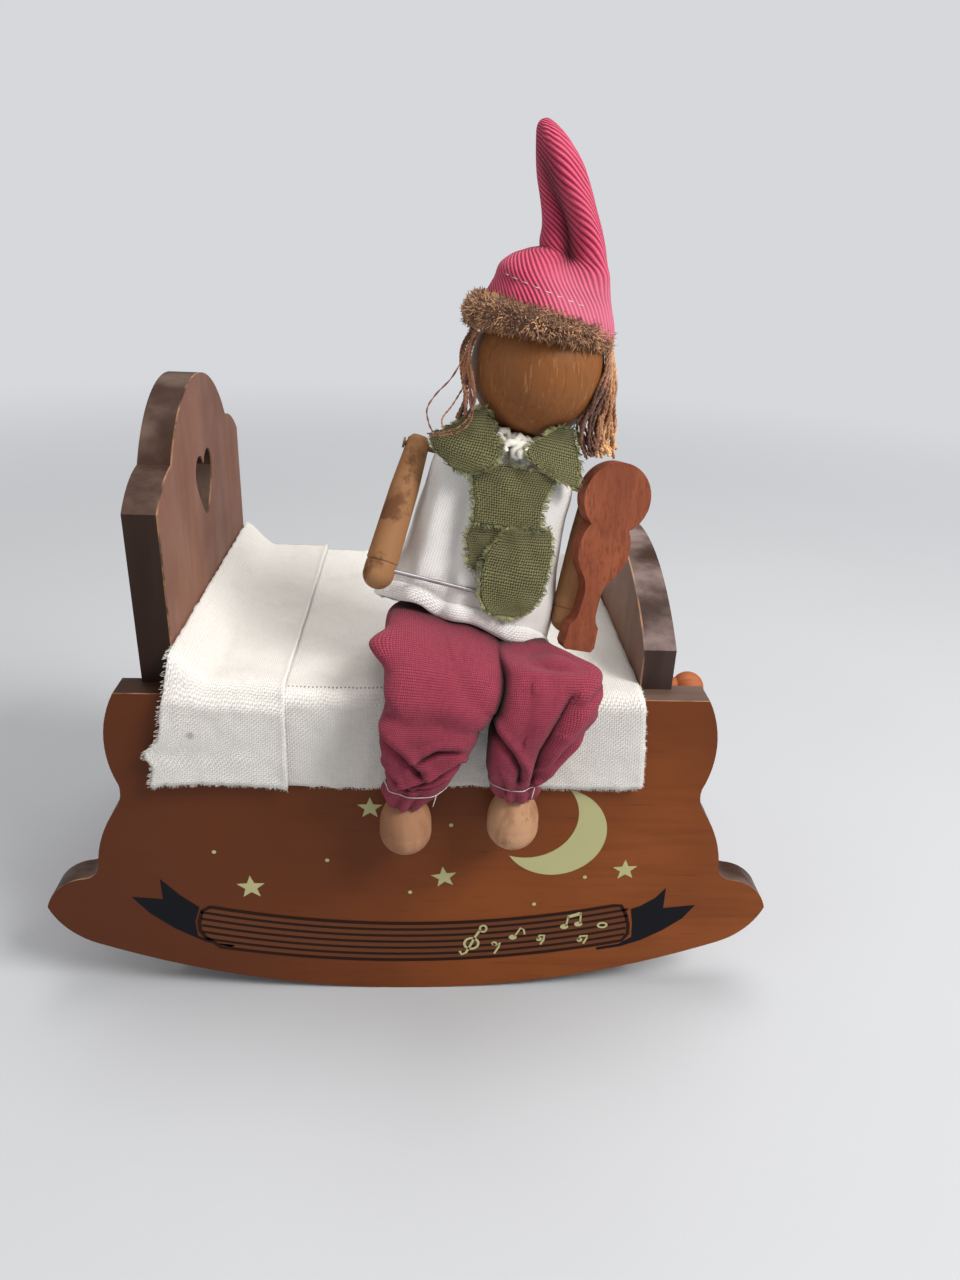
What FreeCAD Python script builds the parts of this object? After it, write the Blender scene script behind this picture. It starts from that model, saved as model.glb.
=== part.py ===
"""Wooden cradle music box with a sitting cloth-dressed doll.

The cradle stands on the floor at z = 0, its two rocker panels along X.
The doll sits on the bed and faces -Y, and the winding knob points to +X.
All sizes are in millimetres. Each driving size is one cell of the sheet.
"""
import FreeCAD, Part
import math
import os

import Sketcher
from FreeCAD import Placement, Rotation, Vector

SIZES = {
    # cradle case
    "case_length": 190.0,
    "case_depth": 102.0,
    "board_thickness": 8.0,
    "ply_thickness": 3.0,
    "panel_height": 92.0,
    "panel_top_half": 70.7,
    "bulge_half": 74.3,
    "bulge_height": 79.2,
    "waist_half": 72.3,
    "waist_height": 64.5,
    "lobe_half": 80.3,
    "lobe_height": 42.6,
    "rocker_radius": 222.0,
    "rocker_half": 84.0,
    "tip_height": 28.6,
    "case_floor": 17.0,
    "head_inner": 57.5,
    "foot_inner": 54.5,
    "end_lap": 2.0,
    # end boards, with their heights above the top edge of the rocker panels
    "head_shoulder": 41.5,
    "head_step": 48.7,
    "head_arch_half": 29.9,
    "head_peak": 64.6,
    "foot_shoulder": 11.4,
    "foot_peak": 26.0,
    "heart_width": 18.6,
    "heart_tip": 27.2,
    "heart_notch": 41.7,
    # bedding
    "cloth_thickness": 1.3,
    "blanket_hang": 21.6,
    "blanket_rear": 99.0,
    "turnback_end": 31.0,
    "blanket_ridge": 9.0,
    "soft_gap": 0.3,
    # winding and movement
    "arbor_below_top": 23.0,
    "arbor_from_rear": 43.0,
    "arbor_diameter": 4.0,
    "running_gap": 0.05,
    "knob_diameter": 9.6,
    "knob_standoff": 18.7,
    "plate_thickness": 2.0,
    "barrel_diameter": 22.0,
    "barrel_depth": 9.0,
    "barrel_wall": 0.8,
    "drum_diameter": 13.0,
    "drum_length": 21.0,
    "shaft_diameter": 2.0,
    "pin_reach": 0.7,
    "pin_diameter": 0.4,
    "comb_thickness": 1.0,
    "comb_pitch": 1.15,
    "comb_teeth": 18.0,
    "screw_diameter": 2.5,
    # doll
    "doll_reach": 17.74,
    "seat_from_foot": 45.5,
    "seat_y": 20.0,
    "seat_rise": 4.0,
    "doll_lean": 13.5,
    "head_diameter": 30.0,
    "head_height": 71.5,
    "neck_diameter": 5.0,
    "shoulder_height": 47.5,
    "shoulder_half": 21.6,
    "wire_diameter": 1.2,
    "arm_diameter": 7.4,
    "arm_length": 36.8,
    "arm_top_diameter": 5.2,
    "bow_diameter": 1.0,
    "bow_height": 21.2,
    "violin_thickness": 4.5,
    "foot_diameter": 12.5,
    "foot_height": 16.5,
    "hat_brim_radius": 14.6,
    "fur_radius": 13.3,
    "fur_thickness": 7.0,
}


doc = FreeCAD.newDocument("CradleMusicBox")
sheet = doc.addObject("Spreadsheet::Sheet", "Sizes")
for row, (alias, value) in enumerate(SIZES.items(), start=1):
    sheet.set("A%d" % row, alias)
    sheet.set("B%d" % row, str(value))
    sheet.setAlias("B%d" % row, alias)
doc.recompute()

NODES = []


def size(alias):
    """One driving size, read from the sheet."""
    return float(sheet.get(alias))


def above_panels(alias):
    """A height that is given from the top edge of the rocker panels."""
    return size("panel_height") + size(alias)


def expression(text):
    """An expression whose words that are aliases point to the sheet."""
    for alias in sorted(SIZES, key=len, reverse=True):
        text = text.replace("{%s}" % alias, "Sizes." + alias)
    return text


def bind(item, path, text):
    item.setExpression(path, expression(text))


def keep(item, label):
    """Count a finished sub-part, under its own name."""
    item.Label = label
    NODES.append(item)
    return item


FRONT_Y = -(size("case_depth") - size("doll_reach")) / 2
FRONT_TEXT = "-({case_depth} - {doll_reach}) / 2"
MIDDLE_Y = FRONT_Y + size("case_depth") / 2
MIDDLE_TEXT = FRONT_TEXT + " + {case_depth} / 2"
REAR_INNER_Y = FRONT_Y + size("case_depth") - size("board_thickness")
ARBOR_PLACE = Vector(size("foot_inner"), REAR_INNER_Y - size("arbor_from_rear"),
                     size("panel_height") - size("arbor_below_top"))


def flat_sketch(body, plane_role, name):
    """An empty sketch on one origin plane of its own body."""
    sketch = body.newObject("Sketcher::SketchObject", name)
    planes = [f for f in body.Origin.OriginFeatures if f.Role == plane_role]
    sketch.AttachmentSupport = [(planes[0], "")]
    sketch.MapMode = "FlatFace"
    return sketch


def draw_outline(sketch, start, steps):
    """Close an outline from lines (x, y) and arcs (via, end)."""
    here = Vector(start[0], start[1], 0)
    first = sketch.GeometryCount
    for step in steps:
        end = Vector(step[-1][0], step[-1][1], 0)
        if len(step) == 1:
            sketch.addGeometry(Part.LineSegment(here, end))
        else:
            via = Vector(step[0][0], step[0][1], 0)
            sketch.addGeometry(Part.Arc(here, via, end))
        here = end
    return first


def draw_rectangle(sketch, low, high):
    corners = [(high[0], low[1]), (high[0], high[1]), (low[0], high[1]), (low[0], low[1])]
    draw_outline(sketch, low, [(corner,) for corner in corners])


def draw_circle(sketch, centre, diameter_text):
    """A circle whose diameter stays bound to the sheet."""
    circle = Part.Circle(Vector(centre[0], centre[1], 0), Vector(0, 0, 1), 1.0)
    index = sketch.addGeometry(circle)
    constraint = sketch.addConstraint(Sketcher.Constraint("Diameter", index, 2.0))
    sketch.setExpression("Constraints[%d]" % constraint, expression(diameter_text))


def add_pad(body, sketch, length_text, name, reverse=False, midplane=False):
    pad = body.newObject("PartDesign::Pad", name)
    pad.Profile = sketch
    bind(pad, "Length", length_text)
    pad.Reversed = reverse
    if midplane:
        pad.SideType = "Symmetric"
    doc.recompute()
    return pad


def add_cut(body, sketch, name, reverse=False, depth_text=None):
    """Pocket a sketch and make sure that it removes material."""
    before = body.Shape.Volume
    pocket = body.newObject("PartDesign::Pocket", name)
    pocket.Profile = sketch
    pocket.Reversed = reverse
    if depth_text:
        bind(pocket, "Length", depth_text)
    else:
        pocket.Type = "ThroughAll"
        pocket.SideType = "Symmetric"
    doc.recompute()
    if body.Shape.Volume >= before:
        raise RuntimeError(body.Label + ": the pocket " + name + " cuts nothing")
    return pocket


def add_revolution(body, sketch, name, axis_role="Z_Axis"):
    turned = body.newObject("PartDesign::Revolution", name)
    turned.Profile = sketch
    axes = [f for f in body.Origin.OriginFeatures if f.Role == axis_role]
    turned.ReferenceAxis = (axes[0], [""])
    turned.Angle = 360.0
    doc.recompute()
    return turned


def drill(label, base, tools):
    """Cut every tool solid out of a base object."""
    for number, tool in enumerate(tools):
        cut = doc.addObject("Part::Cut", "%s_cut_%d" % (base.Name, number))
        cut.Base = base
        cut.Tool = tool
        base = cut
    doc.recompute()
    return keep(base, label)


def rod(name, diameter_text, length_text, placement):
    """A cylinder along its own Z whose sizes stay bound to the sheet."""
    cylinder = doc.addObject("Part::Cylinder", name)
    bind(cylinder, "Radius", "(%s) / 2" % diameter_text)
    bind(cylinder, "Height", length_text)
    cylinder.Placement = placement
    return cylinder


def feature(label, shape, placement=Placement()):
    """A sub-part whose shape no single feature gives."""
    item = doc.addObject("Part::Feature", label)
    item.Shape = shape
    item.Placement = placement
    return keep(item, label)


# Cradle case

def mirrored(steps, start):
    """The steps of the right half, then the same ones back on the left."""
    points = [start] + [step[-1] for step in steps]
    back = [((-points[-1][0], points[-1][1]),)]
    for index in range(len(steps) - 1, -1, -1):
        end = (-points[index][0], points[index][1])
        step = steps[index]
        if len(step) == 1:
            back.append((end,))
        else:
            back.append(((-step[0][0], step[0][1]), end))
    return steps + back


def rocker_rise(half):
    radius = size("rocker_radius")
    return radius - math.sqrt(radius ** 2 - half ** 2)


def rocker_panel(label, y_text):
    """Scalloped side panel that runs out into the rocker at its foot."""
    body = doc.addObject("PartDesign::Body", label)
    sketch = flat_sketch(body, "XZ_Plane", label + "_outline")
    tip = (size("case_length") / 2, size("tip_height"))
    run_out = (size("rocker_half"), rocker_rise(size("rocker_half")))
    toe_top = (size("lobe_half") + 3.9, size("lobe_height") - 4.8)
    lobe = (size("lobe_half"), size("lobe_height"))
    waist = (size("waist_half"), size("waist_height") + 2.0)
    waist_low = (size("waist_half") + 1.7, size("waist_height") - 5.0)
    top = (size("panel_top_half"), size("panel_height"))
    steps = [
        ((tip[0] - 4.1, tip[1] - 7.2), tip),
        ((tip[0] - 2.8, tip[1] + 5.2), toe_top),
        ((lobe[0] + 1.0, lobe[1] - 3.0), lobe),
        ((lobe[0] - 1.9, lobe[1] + 8.4), waist_low),
        ((waist[0] + 0.1, waist[1] - 3.4), waist),
        ((size("bulge_half"), size("bulge_height")), top),
    ]
    outline = mirrored(steps, run_out)
    draw_outline(sketch, run_out, outline + [((0, 0), run_out)])
    add_pad(body, sketch, "{board_thickness}", label + "_board", reverse=True)
    bind(body, "Placement.Base.y", y_text)
    return keep(body, label)


def end_board(label, outer_text, upper_steps):
    """Upright board between the rocker panels, with a lap on their tops."""
    body = doc.addObject("PartDesign::Body", label + "_blank")
    sketch = flat_sketch(body, "YZ_Plane", label + "_outline")
    inner_half = size("case_depth") / 2 - size("board_thickness")
    lap_half = inner_half + size("end_lap")
    panel_top = size("panel_height")
    start = (inner_half, size("case_floor"))
    steps = [((inner_half, panel_top),), ((lap_half, panel_top),)] + upper_steps(lap_half)
    outline = mirrored(steps, start)
    closing = outline if steps[-1][-1][0] > 0 else steps + outline[len(steps) + 1:]
    draw_outline(sketch, start, closing + [(start,)])
    add_pad(body, sketch, "{board_thickness}", label + "_board")
    bind(body, "Placement.Base.x", outer_text)
    bind(body, "Placement.Base.y", MIDDLE_TEXT)
    return body


def headboard_top(lap_half):
    """Rounded shoulder, step and wide arch, up to the middle."""
    arch_half = size("head_arch_half")
    step_height = above_panels("head_step")
    shoulder = above_panels("head_shoulder")
    peak = above_panels("head_peak")
    rise = peak - step_height
    radius = (arch_half ** 2 + rise ** 2) / (2 * rise)
    via = arch_half / 2
    via_height = peak - radius + math.sqrt(radius ** 2 - via ** 2)
    middle = (lap_half + arch_half) / 2
    return [
        ((lap_half, shoulder),),
        ((middle + 0.8, (shoulder + step_height) / 2 + 1.2), (arch_half, step_height)),
        ((via, via_height), (0.0, peak)),
    ]


def footboard_top(lap_half):
    """Low shoulder and one shallow arch, up to the middle."""
    edge = lap_half - 1.0
    shoulder = above_panels("foot_shoulder")
    peak = above_panels("foot_peak")
    rise = peak - shoulder
    radius = (edge ** 2 + rise ** 2) / (2 * rise)
    via = edge / 2
    via_height = peak - radius + math.sqrt(radius ** 2 - via ** 2)
    return [
        ((lap_half, shoulder - 0.8),),
        ((edge, shoulder),),
        ((via, via_height), (0.0, peak)),
    ]


def cut_heart(body):
    """Heart-shaped window right through the board."""
    sketch = flat_sketch(body, "YZ_Plane", "heart_outline")
    half = size("heart_width") / 2
    tip = (0.0, above_panels("heart_tip"))
    notch = (0.0, above_panels("heart_notch"))
    height = notch[1] - tip[1]
    side = (half, tip[1] + 0.82 * height)
    flank = (0.62 * half, tip[1] + 0.38 * height)
    lobe = (0.55 * half, notch[1] + 0.2 * height)
    steps = [
        (flank, side),
        (lobe, notch),
        ((-lobe[0], lobe[1]), (-side[0], side[1])),
        ((-flank[0], flank[1]), tip),
    ]
    draw_outline(sketch, tip, steps)
    add_cut(body, sketch, "heart_window")


SCREW_Y = 30.0
SCREW_LENGTH = 12.0
HEAD_RATIO = 2.0
HEAD_DEPTH = 1.4


def bottom_screw_places():
    """The middle of each end board's lower edge, front and rear."""
    half_board = size("board_thickness") / 2
    columns = [-size("head_inner") - half_board, size("foot_inner") + half_board]
    return [(x, MIDDLE_Y + y) for x in columns for y in (-SCREW_Y, SCREW_Y)]


def screw_solid(diameter, length, head_diameter, head_depth, countersunk):
    """A screw along +Z with its head at the origin."""
    shank = Part.makeCylinder(diameter / 2, length)
    if countersunk:
        head = Part.makeCone(head_diameter / 2, diameter / 2, head_depth)
    else:
        head = Part.makeCylinder(head_diameter / 2, head_depth)
        head.translate(Vector(0, 0, -head_depth))
    slot = Part.makeBox(head_diameter, diameter / 5, head_depth)
    depth = -head_depth / 2 if countersunk else -1.5 * head_depth
    slot.translate(Vector(-head_diameter / 2, -diameter / 10, depth))
    return shank.fuse(head).removeSplitter().cut(slot)


def screw_hole(diameter, length, head_diameter, head_depth, slack):
    shank = Part.makeCylinder(diameter / 2 + slack, length + slack)
    head = Part.makeCone(head_diameter / 2 + slack, diameter / 2 + slack, head_depth)
    return shank.fuse(head)


def make_case():
    rocker_panel("front_rocker_panel", FRONT_TEXT)
    rocker_panel("rear_rocker_panel", FRONT_TEXT + " + {case_depth} - {board_thickness}")

    head = end_board("headboard", "-{head_inner} - {board_thickness}", headboard_top)
    cut_heart(head)
    foot = end_board("footboard", "{foot_inner}", footboard_top)

    diameter = size("screw_diameter")
    head_diameter = HEAD_RATIO * diameter
    floor = size("case_floor") - size("ply_thickness")
    screws = []
    holes = []
    for x, y in bottom_screw_places():
        screw = screw_solid(diameter, SCREW_LENGTH, head_diameter, HEAD_DEPTH, True)
        screw.translate(Vector(x, y, floor))
        screws.append(screw)
        hole = screw_hole(diameter, SCREW_LENGTH, head_diameter, HEAD_DEPTH, 0.02)
        hole.translate(Vector(x, y, floor))
        holes.append(hole)
    pilot = doc.addObject("Part::Feature", "bottom_screw_holes")
    pilot.Shape = Part.makeCompound(holes)

    drill("headboard", head, [pilot])
    through = Placement(ARBOR_PLACE, Rotation(Vector(0, 1, 0), 90))
    arbor_hole = rod("arbor_hole", "{arbor_diameter} + 1.0", "{board_thickness}", through)
    plate_holes = doc.addObject("Part::Feature", "plate_screw_holes")
    plate_holes.Shape = Part.makeCompound([plate_screw_hole(p) for p in PLATE_SCREWS])
    plate_holes.Placement = movement_frame()
    drill("footboard", foot, [arbor_hole, plate_holes, pilot])

    bed = doc.addObject("Part::Box", "bed_board")
    bind(bed, "Length", "{head_inner} + {foot_inner}")
    bind(bed, "Width", "{case_depth} - 2 * {board_thickness}")
    bind(bed, "Height", "{ply_thickness}")
    bind(bed, "Placement.Base.x", "-{head_inner}")
    bind(bed, "Placement.Base.y", FRONT_TEXT + " + {board_thickness}")
    bind(bed, "Placement.Base.z", "{panel_height} - {ply_thickness}")
    keep(bed, "bed_board")

    bottom = doc.addObject("Part::Box", "bottom_blank")
    bind(bottom, "Length", "{head_inner} + {foot_inner} + 2 * {board_thickness}")
    bind(bottom, "Width", "{case_depth} - 2 * {board_thickness}")
    bind(bottom, "Height", "{ply_thickness}")
    bind(bottom, "Placement.Base.x", "-{head_inner} - {board_thickness}")
    bind(bottom, "Placement.Base.y", FRONT_TEXT + " + {board_thickness}")
    bind(bottom, "Placement.Base.z", "{case_floor} - {ply_thickness}")
    drill("bottom_board", bottom, [pilot])
    feature("bottom_board_screws", Part.makeCompound(screws))


# Musical movement, in its own frame: x up, y to the rear, z into the case

PLATE_LOW = (-26.0, -12.5)
PLATE_HIGH = (18.3, 38.4)
PLATE_SCREWS = ((8.5, -9.0), (-21.0, -9.0), (-21.0, 8.0))
PLATE_SCREW_LENGTH = 11.0
CROWN_TEETH = 36
PINION_TEETH = 12
CROWN_MODULE = 5.0 / 9.0
CROWN_FACE = 1.2
CROWN_TOOTH = 1.1
END_GEAR_TEETH = 40
FAN_PINION_TEETH = 10
END_GEAR_MODULE = 0.5
FINE_MODULE = 0.4
WORM_WHEEL_TEETH = 24
WORM_RADIUS = 1.4
GEAR_FACE = 1.2
FAN_SHAFT_X = 9.1
DRUM_START = 13.6
END_WALL = 37.0
WALL_THICKNESS = 1.2


def movement_frame():
    return Placement(ARBOR_PLACE, Rotation(Vector(0, 1, 0), -90))


def plate_screw_hole(place):
    hole = Part.makeCylinder(size("screw_diameter") / 2 + 0.02, size("board_thickness"))
    hole.translate(Vector(place[0], place[1], -size("board_thickness")))
    return hole


def crown_level():
    """Height of the crown wheel's tooth roots above the case wall."""
    barrel_top = size("plate_thickness") + size("barrel_depth")
    return barrel_top + 0.3 + CROWN_FACE


def drum_height():
    """Height of the pinned drum's axis above the case wall."""
    return crown_level() + CROWN_TOOTH / 2 + PINION_TEETH * CROWN_MODULE / 2


def fan_shaft_height():
    reach = (END_GEAR_TEETH + FAN_PINION_TEETH) * END_GEAR_MODULE / 2 + 0.05
    return drum_height() - math.sqrt(reach ** 2 - FAN_SHAFT_X ** 2)


def worm_place():
    wheel_radius = WORM_WHEEL_TEETH * FINE_MODULE / 2
    return (FAN_SHAFT_X + wheel_radius + WORM_RADIUS, DRUM_START + 18.0)


def gear_solid(teeth, module, face, turn=0.0):
    """Spur gear along +Y with straight-flanked teeth that leave backlash."""
    pitch = teeth * module / 2
    tip = pitch + 0.85 * module
    root = pitch - 1.1 * module
    step = 2 * math.pi / teeth
    half_tip = 0.11 * step
    half_root = 0.25 * step
    points = []
    for tooth in range(teeth):
        middle = tooth * step + turn
        corners = ((root, -half_root), (tip, -half_tip), (tip, half_tip), (root, half_root))
        for radius, offset in corners:
            angle = middle + offset
            points.append(Vector(radius * math.cos(angle), 0, radius * math.sin(angle)))
    points.append(points[0])
    return Part.Face(Part.makePolygon(points)).extrude(Vector(0, face, 0))


def along_y(radius, start, length, x=0.0, z=0.0):
    return Part.makeCylinder(radius, length, Vector(x, start, z), Vector(0, 1, 0))


def make_bedplate():
    """Cast plate with the comb's rest and the bearing walls."""
    body = doc.addObject("PartDesign::Body", "bedplate_casting")
    sketch = flat_sketch(body, "XY_Plane", "bedplate_outline")
    draw_rectangle(sketch, PLATE_LOW, PLATE_HIGH)
    add_pad(body, sketch, "{plate_thickness}", "bedplate_plate")
    rest = flat_sketch(body, "XY_Plane", "comb_rest_outline")
    last_tooth = DRUM_START + 0.7 + size("comb_teeth") * size("comb_pitch")
    draw_rectangle(rest, (PLATE_LOW[0], DRUM_START - 1.0), (PLATE_LOW[0] + 7.4, last_tooth + 1.0))
    pad = add_pad(body, rest, "{plate_thickness}", "comb_rest")
    pad.setExpression("Length", None)
    pad.Length = drum_height() - size("comb_thickness") / 2
    doc.recompute()

    height = drum_height()
    low = fan_shaft_height()
    shaft = size("shaft_diameter") / 2
    bore = shaft + size("running_gap")
    near = Part.makeBox(6.0, WALL_THICKNESS, height + 2.4, Vector(-3.0, 11.6, 0.5))
    far = Part.makeBox(15.4, WALL_THICKNESS, height + 2.4, Vector(-3.0, END_WALL, 0.5))
    lug = Part.makeBox(5.0, 1.0, low + 2.0, Vector(FAN_SHAFT_X - 2.5, 28.6, 0.5))
    worm_x, worm_y = worm_place()
    post = Part.makeBox(4.0, 1.2, 24.0, Vector(worm_x - 2.0, worm_y - 6.6, 0.5))
    top_arm = Part.makeBox(4.0, 9.0, 1.2, Vector(worm_x - 2.0, worm_y - 6.6, 23.3))
    foot_arm = Part.makeBox(4.0, 9.0, 1.2, Vector(worm_x - 2.0, worm_y - 6.6, 1.5))
    holes = [
        along_y(bore, 5.0, 40.0, 0.0, height),
        along_y(bore, 25.0, 20.0, FAN_SHAFT_X, low),
        Part.makeCylinder(size("arbor_diameter") / 2 + size("running_gap"), 10.0, Vector(0, 0, -1)),
        Part.makeCylinder(0.5 + size("running_gap"), 40.0, Vector(worm_x, worm_y, 1.9)),
    ]
    for x, y in PLATE_SCREWS:
        holes.append(Part.makeCylinder(size("screw_diameter") / 2 + 0.02, 5.0, Vector(x, y, -1.0)))
    for y in comb_screw_rows():
        radius = size("screw_diameter") / 2 + 0.02
        holes.append(Part.makeCylinder(radius, 6.0, Vector(comb_screw_x(), y, height - 5.5)))
    casting = doc.addObject("Part::Feature", "bearing_walls")
    casting.Shape = near.multiFuse([far, lug, post, top_arm, foot_arm])
    whole = doc.addObject("Part::Fuse", "casting_with_walls")
    whole.Base = body
    whole.Tool = casting
    bores = doc.addObject("Part::Feature", "casting_bores")
    bores.Shape = Part.makeCompound(holes)
    plate = drill("movement_bedplate", whole, [bores])
    plate.Placement = movement_frame()


def comb_screw_x():
    return PLATE_LOW[0] + 3.4


def comb_screw_rows():
    first = DRUM_START + 4.0
    return (first, first + 13.0)


def make_comb():
    """Steel comb: one slotted plate whose tongues get shorter to the treble."""
    body = doc.addObject("PartDesign::Body", "tone_comb")
    sketch = flat_sketch(body, "XY_Plane", "comb_outline")
    teeth = int(size("comb_teeth"))
    pitch = size("comb_pitch")
    start = DRUM_START + 0.7
    end = start + teeth * pitch
    tip = -(size("drum_diameter") / 2 + size("pin_reach") + 0.1)
    draw_rectangle(sketch, (PLATE_LOW[0], start), (tip, end))
    add_pad(body, sketch, "{comb_thickness}", "comb_blank", midplane=True)

    slots = flat_sketch(body, "XY_Plane", "comb_slots")
    root_bass = PLATE_LOW[0] + 7.6
    root_treble = root_bass + 5.6
    slot_half = 0.18
    for number in range(1, teeth):
        share = (number - 0.5) / (teeth - 1)
        root = root_bass + share * (root_treble - root_bass)
        y = start + number * pitch
        draw_rectangle(slots, (root, y - slot_half), (tip + 1.0, y + slot_half))
    add_cut(body, slots, "tongue_slots")

    screws = flat_sketch(body, "XY_Plane", "comb_screw_holes")
    for y in comb_screw_rows():
        draw_circle(screws, (comb_screw_x(), y), "{screw_diameter} + 0.04")
    add_cut(body, screws, "comb_screw_bores")
    body.Placement = movement_frame().multiply(Placement(Vector(0, 0, drum_height()), Rotation()))
    keep(body, "tone_comb")

    solids = []
    for y in comb_screw_rows():
        screw = screw_solid(size("screw_diameter"), 5.0, 4.4, 1.4, False)
        screw.rotate(Vector(0, 0, 0), Vector(1, 0, 0), 180)
        screw.translate(Vector(comb_screw_x(), y, drum_height() + size("comb_thickness") / 2))
        solids.append(screw)
    feature("comb_screws", Part.makeCompound(solids), movement_frame())


def make_drum():
    """Pinned drum with its shaft, pinion and end gear in one piece."""
    radius = size("drum_diameter") / 2
    reach = radius + size("pin_reach")
    drum = along_y(radius, DRUM_START, size("drum_length"))
    shaft_start = 8.6
    shaft_end = END_WALL + WALL_THICKNESS + 0.6
    shaft = along_y(size("shaft_diameter") / 2, shaft_start, shaft_end - shaft_start)
    crown_radius = CROWN_TEETH * CROWN_MODULE / 2
    half_tooth = math.pi / PINION_TEETH
    pinion = gear_solid(PINION_TEETH, CROWN_MODULE, 1.8, half_tooth - math.pi / 2)
    pinion.translate(Vector(0, crown_radius - 0.9, 0))
    end_gear = gear_solid(END_GEAR_TEETH, END_GEAR_MODULE, GEAR_FACE)
    end_gear.translate(Vector(0, DRUM_START + size("drum_length") + 0.6, 0))
    collar = along_y(2.0, DRUM_START + size("drum_length") - 0.2, 1.0)
    pins = []
    for track in range(int(size("comb_teeth"))):
        y = DRUM_START + 0.7 + (track + 0.5) * size("comb_pitch")
        for note in range(3):
            turn = math.radians(47.0 * track + 131.0 * note + 23.0 * (track % 3) + 10.0)
            way = Vector(math.cos(turn), 0, math.sin(turn))
            start = Vector(0, y, 0) + way * (radius - 0.3)
            pins.append(Part.makeCylinder(size("pin_diameter") / 2, reach - radius + 0.3, start, way))
    solid = drum.multiFuse([shaft, pinion, end_gear, collar] + pins)
    place = movement_frame().multiply(Placement(Vector(0, 0, drum_height()), Rotation()))
    feature("pinned_drum", solid, place)


def spiral_band(inner, outer, turns, thickness, height):
    """Flat spring strip wound as a chain of half circles."""
    halves = 2 * turns
    growth = (outer - inner) / halves
    edges_in = []
    edges_out = []
    for side, edges in ((0.0, edges_in), (thickness, edges_out)):
        here = Vector(inner + side, 0, 0)
        for number in range(halves):
            sign = 1 if number % 2 == 0 else -1
            near = inner + number * growth + side
            far = inner + (number + 1) * growth + side
            end = Vector(-sign * far, 0, 0)
            centre = (here + end) * 0.5
            reach = (near + far) / 2
            edges.append(Part.Arc(here, Vector(centre.x, sign * reach, 0), end).toShape())
            here = end
    cap_start = Part.makeLine(Vector(inner, 0, 0), Vector(inner + thickness, 0, 0))
    last = outer if halves % 2 == 0 else -outer
    cap_end = Part.makeLine(Vector(last, 0, 0), Vector(math.copysign(outer + thickness, last), 0, 0))
    wire = Part.Wire(edges_in + [cap_end] + edges_out[::-1] + [cap_start])
    return Part.Face(wire).extrude(Vector(0, 0, height))


def make_spring_and_winding():
    frame = movement_frame()
    plate = size("plate_thickness")
    depth = size("barrel_depth")
    wall = size("barrel_wall")
    outer = size("barrel_diameter") / 2
    arbor = size("arbor_diameter") / 2
    bore = arbor + size("running_gap")

    barrel = Part.makeCylinder(outer, depth, Vector(0, 0, plate))
    hollow = Part.makeCylinder(outer - wall, depth, Vector(0, 0, plate + wall))
    hole = Part.makeCylinder(bore, depth, Vector(0, 0, plate - 1))
    feature("spring_barrel", barrel.cut(hollow).cut(hole), frame)

    band = spiral_band(arbor + 1.0, outer - wall - 0.55, 6, 0.35, depth - wall - 1.0)
    feature("mainspring", band, frame.multiply(Placement(Vector(0, 0, plate + wall + 0.4), Rotation())))

    outside = size("board_thickness") + size("knob_standoff")
    arbor_top = crown_level() - CROWN_FACE
    shaft = rod("winding_arbor", "{arbor_diameter}", "{board_thickness} + {knob_standoff}",
                frame.multiply(Placement(Vector(0, 0, -outside), Rotation())))
    shaft.setExpression("Height", None)
    shaft.Height = outside + arbor_top + CROWN_FACE
    keep(shaft, "winding_arbor")

    crown_radius = CROWN_TEETH * CROWN_MODULE / 2
    wheel = Part.makeCylinder(crown_radius + 0.9, CROWN_FACE, Vector(0, 0, arbor_top))
    step = 360.0 / CROWN_TEETH
    pitch_width = math.pi * CROWN_MODULE
    inside = crown_radius - 0.9
    root_half = 0.27 * pitch_width
    tip_half = 0.12 * pitch_width
    profile = [Vector(-root_half, inside, 0), Vector(-tip_half, inside, CROWN_TOOTH),
               Vector(tip_half, inside, CROWN_TOOTH), Vector(root_half, inside, 0)]
    profile = [p + Vector(0, 0, crown_level()) for p in profile]
    tooth = Part.Face(Part.makePolygon(profile + profile[:1])).extrude(Vector(0, 1.8, 0))
    teeth = []
    for number in range(CROWN_TEETH):
        copy = tooth.copy()
        copy.rotate(Vector(0, 0, 0), Vector(0, 0, 1), number * step)
        teeth.append(copy)
    wheel = wheel.multiFuse(teeth)
    wheel = wheel.cut(Part.makeCylinder(arbor, 10.0, Vector(0, 0, arbor_top - 1)))
    feature("crown_wheel", wheel, frame)

    make_knob(frame)


def make_knob(frame):
    """Turned wooden ball with a neck, pressed on the arbor."""
    body = doc.addObject("PartDesign::Body", "winding_knob")
    sketch = flat_sketch(body, "XZ_Plane", "knob_profile")
    ball = size("knob_diameter") / 2
    arbor = size("arbor_diameter") / 2
    neck = arbor + 1.0
    neck_end = math.sqrt(ball ** 2 - neck ** 2)
    length = ball + 4.5
    steps = [
        ((ball * math.sqrt(0.5), -ball * math.sqrt(0.5)), (ball, 0.0)),
        ((ball * math.cos(0.5), ball * math.sin(0.5)), (neck, neck_end)),
        ((neck, length),),
        ((arbor, length),),
        ((arbor, 0.0),),
        ((0.0, 0.0),),
        ((0.0, -ball),),
    ]
    draw_outline(sketch, (0.0, -ball), steps)
    add_revolution(body, sketch, "knob_turning")
    outside = size("board_thickness") + size("knob_standoff")
    body.Placement = frame.multiply(Placement(Vector(0, 0, -outside), Rotation()))
    keep(body, "winding_knob")


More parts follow.
